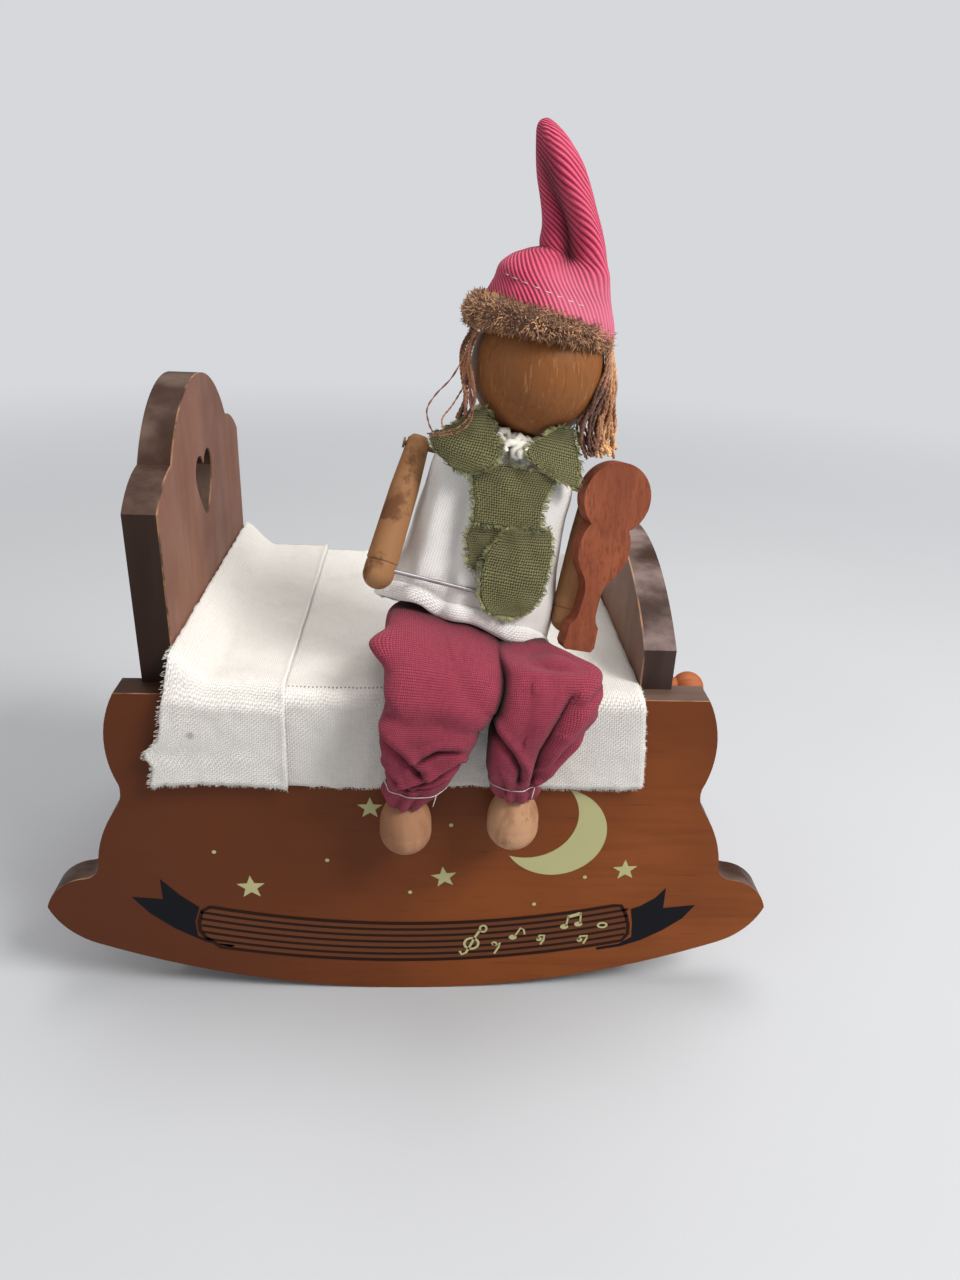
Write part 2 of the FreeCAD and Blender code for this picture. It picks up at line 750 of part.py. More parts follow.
def make_governor():
    """Small train that holds the speed: wheel, worm and air brake."""
    frame = movement_frame()
    low = fan_shaft_height()
    worm_x, worm_y = worm_place()
    wheel = gear_solid(WORM_WHEEL_TEETH, FINE_MODULE, GEAR_FACE)
    wheel.translate(Vector(0, worm_y - GEAR_FACE / 2, 0))
    angle = math.atan2(drum_height() - low, -FAN_SHAFT_X)
    pinion = gear_solid(FAN_PINION_TEETH, END_GEAR_MODULE, GEAR_FACE, mesh_turn(angle))
    pinion.translate(Vector(0, DRUM_START + size("drum_length") + 0.6, 0))
    shaft = along_y(size("shaft_diameter") / 2, 28.2, END_WALL + WALL_THICKNESS + 0.4 - 28.2)
    solid = shaft.multiFuse([wheel, pinion])
    feature("governor_wheel", solid, frame.multiply(Placement(Vector(FAN_SHAFT_X, 0, low), Rotation())))

    lead = math.pi * FINE_MODULE
    core = WORM_RADIUS - 0.55
    spindle = Part.makeCylinder(core, 18.0, Vector(0, 0, 3.6))
    pivots = Part.makeCylinder(0.5, 22.4, Vector(0, 0, 2.0))
    rings = worm_thread(core, lead, low)
    blade = Part.makeBox(6.8, 0.5, 4.6, Vector(-3.4, -0.25, 17.2))
    fan = spindle.multiFuse([pivots, rings, blade])
    feature("governor_fan", fan, frame.multiply(Placement(Vector(worm_x, worm_y, 0), Rotation())))


def mesh_turn(angle):
    """Turn of the small pinion that puts a gap where the end gear has a tooth."""
    step = 2 * math.pi / END_GEAR_TEETH
    line = angle + math.pi
    past_tooth = line % step
    small_step = 2 * math.pi / FAN_PINION_TEETH
    return angle + small_step / 2 + past_tooth * END_GEAR_TEETH / FAN_PINION_TEETH


def worm_thread(core, lead, middle):
    """Single thread of four turns round the spindle."""
    turns = 4
    start = middle - turns * lead / 2
    helix = Part.makeHelix(lead, turns * lead, core)
    half_root = 0.2 * lead
    half_tip = 0.1 * lead
    depth = 0.5
    inner = core - 0.15
    profile = [Vector(inner, 0, -half_root), Vector(core + depth, 0, -half_tip),
               Vector(core + depth, 0, half_tip), Vector(inner, 0, half_root)]
    wire = Part.makePolygon(profile + profile[:1])
    thread = Part.Wire(helix.Edges).makePipeShell([wire], True, True)
    thread.translate(Vector(0, 0, start))
    return thread


def make_movement():
    make_bedplate()
    make_comb()
    make_drum()
    make_spring_and_winding()
    make_governor()
    solids = []
    length = PLATE_SCREW_LENGTH
    for x, y in PLATE_SCREWS:
        screw = screw_solid(size("screw_diameter"), length, 4.6, 1.5, False)
        screw.translate(Vector(x, y, -size("board_thickness")))
        solids.append(screw)
    feature("movement_screws", Part.makeCompound(solids), movement_frame())


# Soft forms

def ring(centre, across, along, half_width, half_depth, folds=2, depth=0.0):
    """Closed ring of arcs; folds above two make it swing out and in."""
    count = 2 * folds
    step = 2 * math.pi / count

    def point(angle, grow):
        return (centre + across * (half_width * grow * math.cos(angle))
                + along * (half_depth * grow * math.sin(angle)))

    edges = []
    for index in range(count):
        start = index * step
        sign = 1 if index % 2 == 0 else -1
        crest = point(start + step / 2, 1.0 + sign * depth)
        arc = Part.Arc(point(start, 1.0), crest, point(start + step, 1.0))
        edges.append(arc.toShape())
    return Part.Wire(edges)


def loft(rings):
    return Part.makeLoft(rings, True, False, False, 4)


X_AXIS = Vector(1, 0, 0)
Y_AXIS = Vector(0, 1, 0)
Z_AXIS = Vector(0, 0, 1)


def make_blanket():
    """Flannel blanket over bed and front panel, turned back at the head."""
    cloth = size("cloth_thickness")
    top = size("panel_height") + 0.05
    front = FRONT_Y - 0.2
    rear = FRONT_Y + size("blanket_rear")
    bend = 0.3

    def layer(inset, low, rear_end):
        inner_z = top + inset
        inner_y = front - inset
        outer_z = inner_z + cloth
        outer_y = inner_y - cloth
        inner_bend = bend + inset
        outer_bend = inner_bend + cloth
        diagonal = 1 - math.sqrt(0.5)
        points = [Vector(0, rear_end, inner_z), Vector(0, inner_y + inner_bend, inner_z),
                  Vector(0, inner_y, inner_z - inner_bend), Vector(0, inner_y, low),
                  Vector(0, outer_y, low), Vector(0, outer_y, outer_z - outer_bend),
                  Vector(0, outer_y + outer_bend, outer_z), Vector(0, rear_end, outer_z)]
        inner_via = Vector(0, inner_y + diagonal * inner_bend, inner_z - diagonal * inner_bend)
        outer_via = Vector(0, outer_y + diagonal * outer_bend, outer_z - diagonal * outer_bend)
        edges = [
            Part.makeLine(points[0], points[1]),
            Part.Arc(points[1], inner_via, points[2]).toShape(),
            Part.makeLine(points[2], points[3]),
            Part.makeLine(points[3], points[4]),
            Part.makeLine(points[4], points[5]),
            Part.Arc(points[5], outer_via, points[6]).toShape(),
            Part.makeLine(points[6], points[7]),
            Part.makeLine(points[7], points[0]),
        ]
        return Part.Face(Part.Wire(edges))

    left = -size("head_inner") + size("soft_gap")
    right = size("foot_inner") - size("soft_gap")
    low = size("panel_height") - size("blanket_hang")
    lower = layer(0.0, low, rear).extrude(Vector(right - left, 0, 0))
    lower.translate(Vector(left, 0, 0))

    fold_x = -size("turnback_end")
    deck = top + cloth
    ridge = deck + size("blanket_ridge")
    start = Vector(left, front - cloth + bend, deck)
    corners = [start, Vector(fold_x, start.y, deck), Vector(fold_x, start.y, deck + cloth),
               Vector(left + 11.0, start.y, deck + cloth + 0.6)]
    crest = Vector(left + 1.2, start.y, ridge)
    curve = Part.Arc(corners[-1], Vector(left + 4.2, start.y, deck + 4.6), crest).toShape()
    edges = [Part.makeLine(corners[i], corners[i + 1]) for i in range(3)]
    close = [Part.makeLine(crest, Vector(left, start.y, ridge)),
             Part.makeLine(Vector(left, start.y, ridge), start)]
    upper = Part.Face(Part.Wire(edges + [curve] + close))
    upper = upper.extrude(Vector(0, rear - 1.5 - start.y, 0))
    turnback = layer(cloth, low - 1.0, start.y + 0.1).extrude(Vector(fold_x - left - 6.0, 0, 0))
    turnback.translate(Vector(left + 6.0, 0, 0))
    flap_front = front - 2 * cloth
    flare = [(fold_x, deck - 3.0), (fold_x, low - 0.8), (left - 6.2, low - 2.2),
             (left - 6.4, low + 3.8), (left - 7.6, low + 8.2), (left - 3.8, low + 11.0),
             (left - 2.6, deck - 2.0), (left - 0.4, ridge - 2.6), (left + 5.0, deck + 2.6),
             (left + 11.0, deck - 1.0)]
    points = [Vector(x, flap_front, z) for x, z in flare]
    hang = Part.Face(Part.makePolygon(points + points[:1])).extrude(Vector(0, cloth, 0))
    bridge = Part.makeBox(5.0, bend + 0.2, ridge - 2.6 - deck, Vector(left, flap_front + cloth, deck))
    bridge = bridge.common(upper.translated(Vector(0, -3.0, 0)))
    skirt = [(right - 4.0, deck - 4.0), (right, deck - 3.0), (right + 2.4, low + 0.4),
             (right - 4.0, low)]
    points = [Vector(x, front - cloth, z) for x, z in skirt]
    corner = Part.Face(Part.makePolygon(points + points[:1])).extrude(Vector(0, cloth, 0))
    whole = lower.multiFuse([upper, turnback, hang, bridge, corner])
    feature("blanket", whole.removeSplitter())


# Doll, in a leaning frame: x to its left hand, z up its spine, facing -Y

def doll_seat():
    """Where the doll sits: in front of the footboard, on the bed."""
    x = size("foot_inner") - size("seat_from_foot")
    return Vector(x, FRONT_Y + size("seat_y"), above_panels("seat_rise"))


def doll_frame():
    return Placement(doll_seat(), Rotation(Y_AXIS, size("doll_lean")))


def hat_rows():
    """Height, sideways shift and radius of the bent hat, brim to tip."""
    brim = size("hat_brim_radius")
    return [
        (82.9, -0.5, 0.95 * brim), (86.5, -1.0, 0.9 * brim), (90.5, -1.1, 0.775 * brim),
        (95.0, 0.6, 0.55 * brim), (100.0, -0.6, 0.455 * brim), (105.5, -3.5, 0.385 * brim),
        (111.0, -6.9, 0.31 * brim), (115.4, -10.1, 0.22 * brim), (118.2, -12.6, 0.09 * brim),
    ]


def make_head():
    frame = doll_frame()
    gap = size("soft_gap")
    radius = size("head_diameter") / 2
    centre = Vector(0, 0, size("head_height"))
    ball = doc.addObject("Part::Sphere", "head_blank")
    bind(ball, "Radius", "{head_diameter} / 2")
    ball.Placement = frame.multiply(Placement(centre, Rotation()))
    bore_start = Vector(0, 0, size("head_height") - radius - 1.0)
    bore = rod("neck_bore", "{neck_diameter} + 2 * {running_gap}", "11 mm",
               frame.multiply(Placement(bore_start, Rotation())))
    drill("head_ball", ball, [bore])

    skull = Part.makeSphere(radius + gap / 3, centre)
    fur_height = size("head_height") + 8.8
    fur_centre = Vector(-1.8, 0, fur_height)
    fur = Part.makeTorus(size("fur_radius"), size("fur_thickness") / 2, fur_centre)
    feature("hat_fur_band", fur.cut(skull), frame)

    rings = []
    for height, shift, wide in hat_rows():
        rings.append(ring(Vector(shift, 0, height), X_AXIS, Y_AXIS, wide, wide))
    hat = loft(rings)
    swollen = Part.makeTorus(size("fur_radius"), size("fur_thickness") / 2 + 0.05, fur_centre)
    feature("hat", hat.cut(skull).cut(swollen), frame)

    right = loft([
        ring(Vector(12.6, -2.0, 79.0), X_AXIS, Y_AXIS, 2.4, 3.2),
        ring(Vector(14.6, -2.4, 73.5), X_AXIS, Y_AXIS, 2.6, 4.6),
        ring(Vector(16.2, -2.4, 67.0), X_AXIS, Y_AXIS, 3.2, 5.0),
        ring(Vector(17.2, -2.2, 62.0), X_AXIS, Y_AXIS, 3.3, 4.6),
    ])
    feature("hair_left", right.cut(skull).cut(swollen), frame)
    left = loft([
        ring(Vector(-13.4, -3.6, 78.5), X_AXIS, Y_AXIS, 1.8, 2.4),
        ring(Vector(-14.6, -4.4, 72.0), X_AXIS, Y_AXIS, 1.7, 2.6),
        ring(Vector(-14.2, -4.8, 65.0), X_AXIS, Y_AXIS, 1.6, 2.2),
        ring(Vector(-14.2, -4.8, 58.6), X_AXIS, Y_AXIS, 1.2, 1.5),
    ])
    feature("hair_right", left.cut(skull).cut(swollen), frame)


def tunic_rings(grow):
    """Neck, shoulders, chest and hem of the smock, grown outwards."""
    rows = [
        (52.4, -0.4, 6.2, 5.8, 0.0), (49.6, -0.8, 14.0, 9.0, 0.01),
        (45.0, -0.8, 16.6, 10.6, 0.015), (33.0, -0.2, 17.2, 11.4, 0.03),
        (16.0, 0.9, 18.6, 12.1, 0.045), (-1.0, 1.2, 19.8, 13.4, 0.05),
    ]
    rings = []
    for height, shift, half_width, half_depth, depth in rows:
        rings.append(ring(Vector(shift, 0, height), X_AXIS, Y_AXIS, half_width + grow,
                          half_depth + grow, 7, depth))
    return rings


def below_hem():
    """Everything under the slanted hem of the smock."""
    block = Part.makeBox(100, 80, 40, Vector(-50, -60, -40))
    block.rotate(Vector(0, 0, 0), X_AXIS, -24)
    block.rotate(Vector(0, 0, 0), Y_AXIS, 7)
    block.translate(Vector(0, 13.0, 3.8))
    return block


def below_bed():
    """Everything under the blanket's top, seen from the doll's frame."""
    deck = size("panel_height") + size("cloth_thickness") + 0.15
    block = Part.makeBox(200, 200, deck, Vector(-100, -100, 0))
    block.Placement = doll_frame().inverse()
    return block


def make_torso():
    """Shaped wooden block, the dowel in its neck and the shoulder wire."""
    frame = doll_frame()
    rows = [(0.0, 9.0, 8.0), (10.0, 10.0, 8.6), (30.0, 11.0, 8.6), (45.0, 12.2, 7.6), (49.4, 9.4, 6.0)]
    body = doc.addObject("PartDesign::Body", "torso_blank")
    sections = []
    for number, (height, half_width, half_depth) in enumerate(rows):
        sketch = flat_sketch(body, "XY_Plane", "torso_section_%d" % number)
        sketch.AttachmentOffset = Placement(Vector(0, 0, height), Rotation())
        wide = Vector(half_width, 0, 0)
        deep = Vector(0, half_depth, 0)
        sketch.addGeometry(Part.Ellipse(wide, deep, Vector(0, 0, 0)))
        sections.append(sketch)
    doc.recompute()
    block = body.newObject("PartDesign::AdditiveLoft", "torso_loft")
    block.Profile = sections[0]
    block.Sections = sections[1:]
    doc.recompute()
    body.Placement = frame
    peg_foot = 40.0
    peg = Placement(Vector(0, 0, peg_foot), Rotation())
    peg_hole = rod("neck_hole", "{neck_diameter}", "20 mm", frame.multiply(peg))
    wire_way = Rotation(Y_AXIS, 90)
    wire_half = size("shoulder_half") + size("arm_top_diameter") / 2 + 0.3
    wire_start = Placement(Vector(-wire_half, 0, size("shoulder_height")), wire_way)
    wire_hole = rod("wire_hole", "{wire_diameter}", "80 mm", frame.multiply(wire_start))
    drill("torso_block", body, [peg_hole, wire_hole])

    top = size("head_height") - size("head_diameter") / 2 + 9.0
    dowel = Part.makeCylinder(size("neck_diameter") / 2, top - peg_foot, Vector(0, 0, peg_foot))
    through = Part.makeCylinder(size("wire_diameter") / 2, 80.0,
                                Vector(-wire_half, 0, size("shoulder_height")), X_AXIS)
    feature("neck_dowel", dowel.cut(through), frame)

    wire = Part.makeCylinder(size("wire_diameter") / 2, 2 * wire_half,
                             Vector(-wire_half, 0, size("shoulder_height")), X_AXIS)
    heads = []
    for side in (-1, 1):
        place = Vector(side * wire_half, 0, size("shoulder_height"))
        heads.append(Part.makeCylinder(1.2, 0.5, place, X_AXIS * side))
    feature("shoulder_wire", wire.multiFuse(heads), frame)

    collar = Part.makeTorus(7.0, 1.6, Vector(0, 0, 56.2))
    head_middle = Vector(0, 0, size("head_height"))
    skull = Part.makeSphere(size("head_diameter") / 2 + size("soft_gap"), head_middle)
    feature("neck_ruffle", collar.cut(skull), frame)


def collar_rings(grow):
    """Loose shawl collar that stands up round the neck."""
    rows = [(59.4, 10.2, 9.8), (55.0, 12.0, 10.2), (50.0, 14.8, 10.8),
            (45.0, 16.6, 11.4), (40.0, 17.1, 12.0)]
    return [ring(Vector(-0.2, 0, height), X_AXIS, Y_AXIS, wide + grow, deep + grow, 7, 0.015)
            for height, wide, deep in rows]


def make_clothes():
    frame = doll_frame()
    gap = size("soft_gap")
    wall = 1.0
    outer = loft(tunic_rings(0.0))
    inner = loft(tunic_rings(-wall))
    lid = Part.makeBox(60, 60, 20, Vector(-30, -30, 51.4))
    neck = Part.makeCylinder(4.4, 20.0, Vector(0, 0, 45.0))
    wire = Part.makeCylinder(size("wire_diameter") / 2 + gap / 2, 80.0,
                             Vector(-40, 0, size("shoulder_height")), X_AXIS)
    hollow = inner.cut(lid)
    tunic = outer.cut(hollow).cut(neck).cut(wire).cut(below_hem()).cut(below_bed())
    feature("tunic", tunic.Solids[0], frame)

    shell = loft(tunic_rings(gap + wall)).cut(loft(tunic_rings(gap)))
    collar = loft(collar_rings(wall)).cut(loft(collar_rings(0.0))).cut(loft(tunic_rings(gap)))
    panels = {
        "vest_shoulders": [
            [(-21.0, 49.0), (-17.6, 45.6), (-12.6, 43.6), (-8.0, 46.6), (-4.6, 49.6),
             (-5.4, 54.0), (-8.6, 62.0), (-21.0, 62.0)],
            [(21.0, 46.4), (17.0, 43.6), (13.4, 43.4), (9.4, 45.6), (4.8, 50.0),
             (7.4, 54.6), (9.8, 62.0), (21.0, 62.0)],
        ],
        "vest_front": [
            [(-7.4, 46.6), (-5.2, 37.6), (9.4, 39.6), (9.0, 45.4), (4.4, 49.8),
             (-4.2, 49.4)],
            [(-7.2, 35.8), (-3.6, 26.8), (3.1, 37.0), (2.6, 38.2)],
            [(3.4, 37.6), (12.2, 39.2), (14.2, 30.0), (13.2, 22.6), (9.0, 19.6),
             (1.4, 19.2), (0.0, 24.0), (-0.2, 29.6)],
        ],
    }
    for label, outlines in panels.items():
        depth = 60.0 if label == "vest_shoulders" else 30.0
        pieces = []
        for outline in outlines:
            points = [Vector(x, -30.0, z) for x, z in outline]
            prism = Part.Face(Part.makePolygon(points + points[:1])).extrude(Vector(0, depth, 0))
            pieces.append((collar if label == "vest_shoulders" else shell).common(prism))
        solids = []
        for piece in pieces:
            solids += piece.cut(wire).cut(neck).Solids
        feature(label, Part.makeCompound(solids), frame)


def arm_frame(side, forward, splay):
    """The arm's own frame: origin on the shoulder wire, arm along -Z."""
    place = Placement(Vector(side * size("shoulder_half"), 0, size("shoulder_height")), Rotation())
    turn = Rotation(Y_AXIS, side * -splay).multiply(Rotation(X_AXIS, -forward))
    return doll_frame().multiply(place).multiply(Placement(Vector(), turn))


RIGHT_FORWARD = 25.0
LEFT_FORWARD = 10.0
SPLAY = 4.0
ARM_ABOVE = 2.3
BOW_Y = -13.4
BOW_END = -0.9
GLUE_FLAT = 0.4


def make_arm(label, side, forward, extra_tools):
    """Whittled peg with a turned groove above its rounded hand."""
    body = doc.addObject("PartDesign::Body", label + "_peg")
    sketch = flat_sketch(body, "XZ_Plane", label + "_profile")
    radius = size("arm_diameter") / 2
    slim = size("arm_top_diameter") / 2
    top = ARM_ABOVE
    bottom = ARM_ABOVE - size("arm_length")
    groove = bottom + 6.4
    hand = 0.97 * radius
    half_turn = math.sqrt(0.5)
    steps = [
        ((0.7 * slim, top),),
        ((slim, top - 1.0),),
        ((0.9 * radius, 0.3 * bottom),),
        ((radius, groove + 0.4),),
        ((0.93 * radius, groove),),
        ((hand, groove - 0.4),),
        ((hand, bottom + hand),),
        ((hand * half_turn, bottom + hand - hand * half_turn), (0.0, bottom)),
        ((0.0, top),),
    ]
    draw_outline(sketch, (0.0, top), steps)
    add_revolution(body, sketch, label + "_turning")
    quarter = Placement(Vector(), Rotation(Z_AXIS, 90))
    body.Placement = arm_frame(side, forward, SPLAY).multiply(quarter)
    start = Vector(side * size("shoulder_half") - 10.0, 0, size("shoulder_height"))
    wire_place = doll_frame().multiply(Placement(start, Rotation(Y_AXIS, 90)))
    hole = rod(label + "_pivot", "{wire_diameter} + 2 * {running_gap}", "20 mm", wire_place)
    drill(label, body, [hole] + extra_tools)


def make_arms():
    frame = doll_frame()
    bow_start = Vector(-size("shoulder_half") - 4.4, BOW_Y, size("bow_height"))
    bow_place = frame.multiply(Placement(bow_start, Rotation(Y_AXIS, 90)))
    hand_hole = rod("bow_hole", "{bow_diameter} + 0.02", "8 mm", bow_place)
    make_arm("right_arm", -1, RIGHT_FORWARD, [hand_hole])
    make_arm("left_arm", 1, LEFT_FORWARD, [make_violin()])
    bow = rod("bow", "{bow_diameter}", "20 mm", bow_place)
    bow.setExpression("Height", None)
    bow.Height = BOW_END - bow_start.x
    keep(bow, "bow")


def make_violin():
    """Flat board sawn to the outline of a small fiddle, neck downwards."""
    body = doc.addObject("PartDesign::Body", "violin")
    sketch = flat_sketch(body, "XZ_Plane", "violin_outline")
    lobe = 8.4
    waist = (4.9, -6.7)
    lower = (4.4, -18.0)
    neck = (2.1, -23.4)
    steps = [
        ((6.5, -12.4), lower),
        ((2.7, -20.6), neck),
        ((2.2, -27.4),),
        ((2.7, -29.6), (3.7, -31.0)),
        ((4.1, -36.0),),
        ((3.4, -37.2),),
    ]
    right_side = steps
    points = [waist] + [step[-1] for step in right_side]
    left_side = [((-points[-1][0], points[-1][1]),)]
    for index in range(len(right_side) - 1, -1, -1):
        end = (-points[index][0], points[index][1])
        step = right_side[index]
        left_side.append((end,) if len(step) == 1 else ((-step[0][0], step[0][1]), end))
    top_arc = [((-lobe, 0.0), (0.0, lobe)), ((lobe, 0.0), waist)]
    draw_outline(sketch, waist, right_side + left_side + top_arc)
    add_pad(body, sketch, "{violin_thickness}", "violin_board")
    arm = arm_frame(1, LEFT_FORWARD, SPLAY)
    glue_face = size("arm_diameter") / 2 - GLUE_FLAT
    turned = Placement(Vector(0, 0, 0.25), Rotation(Z_AXIS, 12.0))
    on_arm = Placement(Vector(2.9, -glue_face, 0), Rotation(Y_AXIS, 2.0))
    body.Placement = arm.multiply(turned).multiply(on_arm)
    return keep(body, "violin")


def leg_place(aside, forward, rise):
    """A point given from the seat, the front board and the panels' top edge."""
    return Vector(doll_seat().x + aside, FRONT_Y + forward, size("panel_height") + rise)


def path_ring(aside, forward, rise, droop, half_width, half_depth):
    """A ring across a leg's path; droop 0 runs forward and 90 runs down."""
    turn = Rotation(X_AXIS, 90 + droop)
    along = turn.multVec(Y_AXIS)
    return ring(leg_place(aside, forward, rise), X_AXIS, along, half_width, half_depth, 5, 0.035)


LEFT_LEG = [
    (-4.0, 17.0, 11.6, 0, 12.4, 9.6), (-3.6, 7.0, 12.0, 6, 14.8, 10.0),
    (-3.4, -4.4, 8.4, 45, 15.4, 9.2), (-4.1, -9.6, -2.0, 82, 12.3, 7.6),
    (-7.0, -9.8, -11.0, 90, 9.5, 7.2), (-9.2, -8.6, -18.4, 96, 6.6, 5.6),
    (-10.8, -7.2, -24.4, 98, 4.4, 4.3),
]
RIGHT_LEG = [
    (13.8, 17.0, 7.2, 0, 7.8, 6.2), (14.6, 7.6, 7.2, 6, 8.2, 6.2),
    (21.6, -4.6, 6.6, 45, 12.5, 8.2), (19.7, -9.6, -2.0, 82, 11.4, 7.4),
    (16.4, -9.6, -10.4, 90, 8.0, 6.8), (15.3, -8.6, -16.8, 96, 6.2, 5.4),
    (15.0, -7.2, -22.6, 98, 4.6, 4.3),
]
FOOT_ASIDE = {"left": -11.3, "right": 14.9}
FOOT_RISE = {"left": -39.0, "right": -37.4}
FOOT_GAP = 0.35


def foot_profile():
    """Egg-shaped foot with a short neck that the trouser leg is tied to."""
    radius = size("foot_diameter") / 2
    height = size("foot_height")
    belly = 0.42 * height
    return [
        ((0.72 * radius, 0.1 * height), (radius, belly)),
        ((0.8 * radius, 0.78 * height), (0.36 * radius, 0.97 * height)),
        ((0.36 * radius, height + 4.0),),
        ((0.0, height + 4.0),),
        ((0.0, 0.0),),
    ]


def make_legs():
    smock = loft(tunic_rings(size("soft_gap"))).cut(below_hem())
    smock.Placement = doll_frame()
    torso = doc.getObject("torso_blank").Shape
    bedding = doc.getObject("blanket").Shape
    panel = doc.getObject("front_rocker_panel").Shape
    legs = []
    for name, rows in (("left", LEFT_LEG), ("right", RIGHT_LEG)):
        foot = doc.addObject("PartDesign::Body", name + "_foot")
        sketch = flat_sketch(foot, "XZ_Plane", name + "_foot_profile")
        draw_outline(sketch, (0.0, 0.0), foot_profile())
        add_revolution(foot, sketch, name + "_foot_turning")
        forward = -size("foot_diameter") / 2 - FOOT_GAP
        base = leg_place(FOOT_ASIDE[name], forward, FOOT_RISE[name])
        foot.Placement = Placement(base, Rotation())
        label = "right_foot" if name == "left" else "left_foot"
        keep(foot, label)

        leg = loft([path_ring(*row) for row in rows])
        cloth = leg.cut(smock).cut(torso).cut(foot.Shape).cut(bedding).cut(panel)
        for other in legs:
            cloth = cloth.cut(other)
        biggest = max(cloth.Solids, key=lambda solid: solid.Volume)
        legs.append(biggest)
        feature("right_trouser_leg" if name == "left" else "left_trouser_leg", biggest)


def report_faults():
    """Stop at any failed object, and at any sub-part that is not sound."""
    for item in doc.Objects:
        if "Invalid" in item.State or "Error" in item.State:
            raise RuntimeError(item.Label + ": " + ", ".join(item.State))
    for item in NODES:
        shape = item.Shape
        if shape.isNull() or not shape.isValid() or not shape.Solids:
            raise RuntimeError(item.Label + ": the shape is not sound")


def write_parts():
    os.makedirs("parts", exist_ok=True)
    for item in NODES:
        item.Shape.exportStep("parts/%s.step" % item.Label)


make_case()
make_movement()
make_blanket()
make_torso()
make_head()
make_clothes()
make_arms()
make_legs()
doc.recompute()
report_faults()
write_parts()

boxes = [item.Shape.BoundBox for item in NODES]
low = [min(getattr(box, side) for box in boxes) for side in ("XMin", "YMin", "ZMin")]
high = [max(getattr(box, side) for box in boxes) for side in ("XMax", "YMax", "ZMax")]
print("sub-parts", len(NODES))
print("box", [round(v, 2) for v in low], [round(v, 2) for v in high])
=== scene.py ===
# %% [markdown]
# A music box as a rocking cradle, with a wooden doll sitting on its side.
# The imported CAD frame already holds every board, bead and gear at its real place.
# This lesson keeps those solids, gives them real finishes, and sews the soft pieces
# that solids can only hint at: blanket, smock, waistcoat, trousers, cap, fur and hair.

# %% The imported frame
import math
import random

import bmesh
import bpy
from mathutils import Matrix, Vector, noise


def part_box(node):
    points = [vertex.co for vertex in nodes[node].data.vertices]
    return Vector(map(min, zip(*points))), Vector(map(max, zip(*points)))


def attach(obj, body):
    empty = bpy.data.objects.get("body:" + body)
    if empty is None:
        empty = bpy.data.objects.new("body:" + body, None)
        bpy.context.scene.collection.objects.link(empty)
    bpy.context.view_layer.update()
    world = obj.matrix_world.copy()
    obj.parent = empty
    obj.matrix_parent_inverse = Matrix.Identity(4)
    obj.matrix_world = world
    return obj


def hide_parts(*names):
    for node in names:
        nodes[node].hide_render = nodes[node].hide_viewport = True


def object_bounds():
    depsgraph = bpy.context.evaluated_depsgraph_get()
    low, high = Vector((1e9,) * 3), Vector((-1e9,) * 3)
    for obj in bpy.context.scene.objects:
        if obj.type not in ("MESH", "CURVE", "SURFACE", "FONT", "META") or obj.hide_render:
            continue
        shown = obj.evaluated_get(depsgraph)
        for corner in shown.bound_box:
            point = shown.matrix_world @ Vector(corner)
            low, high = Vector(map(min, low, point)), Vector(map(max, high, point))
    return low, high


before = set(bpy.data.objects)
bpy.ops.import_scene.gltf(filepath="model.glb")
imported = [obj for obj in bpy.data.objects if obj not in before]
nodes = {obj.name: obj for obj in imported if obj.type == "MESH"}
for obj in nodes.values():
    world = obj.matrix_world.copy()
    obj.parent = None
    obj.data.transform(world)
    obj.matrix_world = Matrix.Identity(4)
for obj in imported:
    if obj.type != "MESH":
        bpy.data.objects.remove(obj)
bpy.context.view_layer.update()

MM = 0.001
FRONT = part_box("front_rocker_panel")[0].y / MM

# %% [markdown]
# The camera stands close above the bed and looks down on it. A long lens from far
# away would flatten the cradle, so the place, tilt and lens are those worked out
# from the straight edges of the boards.

# %% Camera
PICTURE_HEIGHT = 1280
FOCAL_LENGTH = 916.7  # in the same units as the picture's height
CAMERA_PLACE = Vector((1.6, FRONT - 191.2, 196.75)) * MM
lens = bpy.data.cameras.new("camera")
lens.sensor_fit = "VERTICAL"
lens.sensor_height = 24.0
lens.lens = FOCAL_LENGTH / PICTURE_HEIGHT * 24.0
lens.clip_start = 0.01
camera = bpy.data.objects.new("camera", lens)
bpy.context.collection.objects.link(camera)
camera.matrix_world = (
    Matrix.Translation(CAMERA_PLACE)
    @ Matrix.Rotation(math.radians(-3.80), 4, "Z")
    @ Matrix.Rotation(math.radians(65.0), 4, "X")
    @ Matrix.Rotation(math.radians(2.61), 4, "Z")
)
bpy.context.scene.camera = camera
print("camera at", [round(c, 4) for c in camera.location])

# %% [markdown]
# Daylight in a room is soft: most of it comes from everywhere, and a window adds a
# direction. So the world gives the even part and three wide lamps the rest. The
# levels are kept so low that a colour renders about as it is written.

# %% Light
LAP = Vector((0.0, 0.0, 0.09))
scene = bpy.context.scene
scene.view_settings.view_transform = "Standard"
world = bpy.data.worlds.new("room")
scene.world = world
world.use_nodes = True
world.node_tree.nodes["Background"].inputs["Color"].default_value = (1.0, 0.99, 0.97, 1.0)
world.node_tree.nodes["Background"].inputs["Strength"].default_value = 0.36


def soft_lamp(name, place, size, watts, tint):
    """A square lamp that looks at the doll's lap."""
    data = bpy.data.lights.new(name, "AREA")
    data.size = size
    data.energy = watts
    data.color = tint
    lamp = bpy.data.objects.new(name, data)
    bpy.context.collection.objects.link(lamp)
    aim = LAP - Vector(place)
    lamp.matrix_world = Matrix.Translation(place) @ aim.to_track_quat("-Z", "Y").to_matrix().to_4x4()
    return lamp


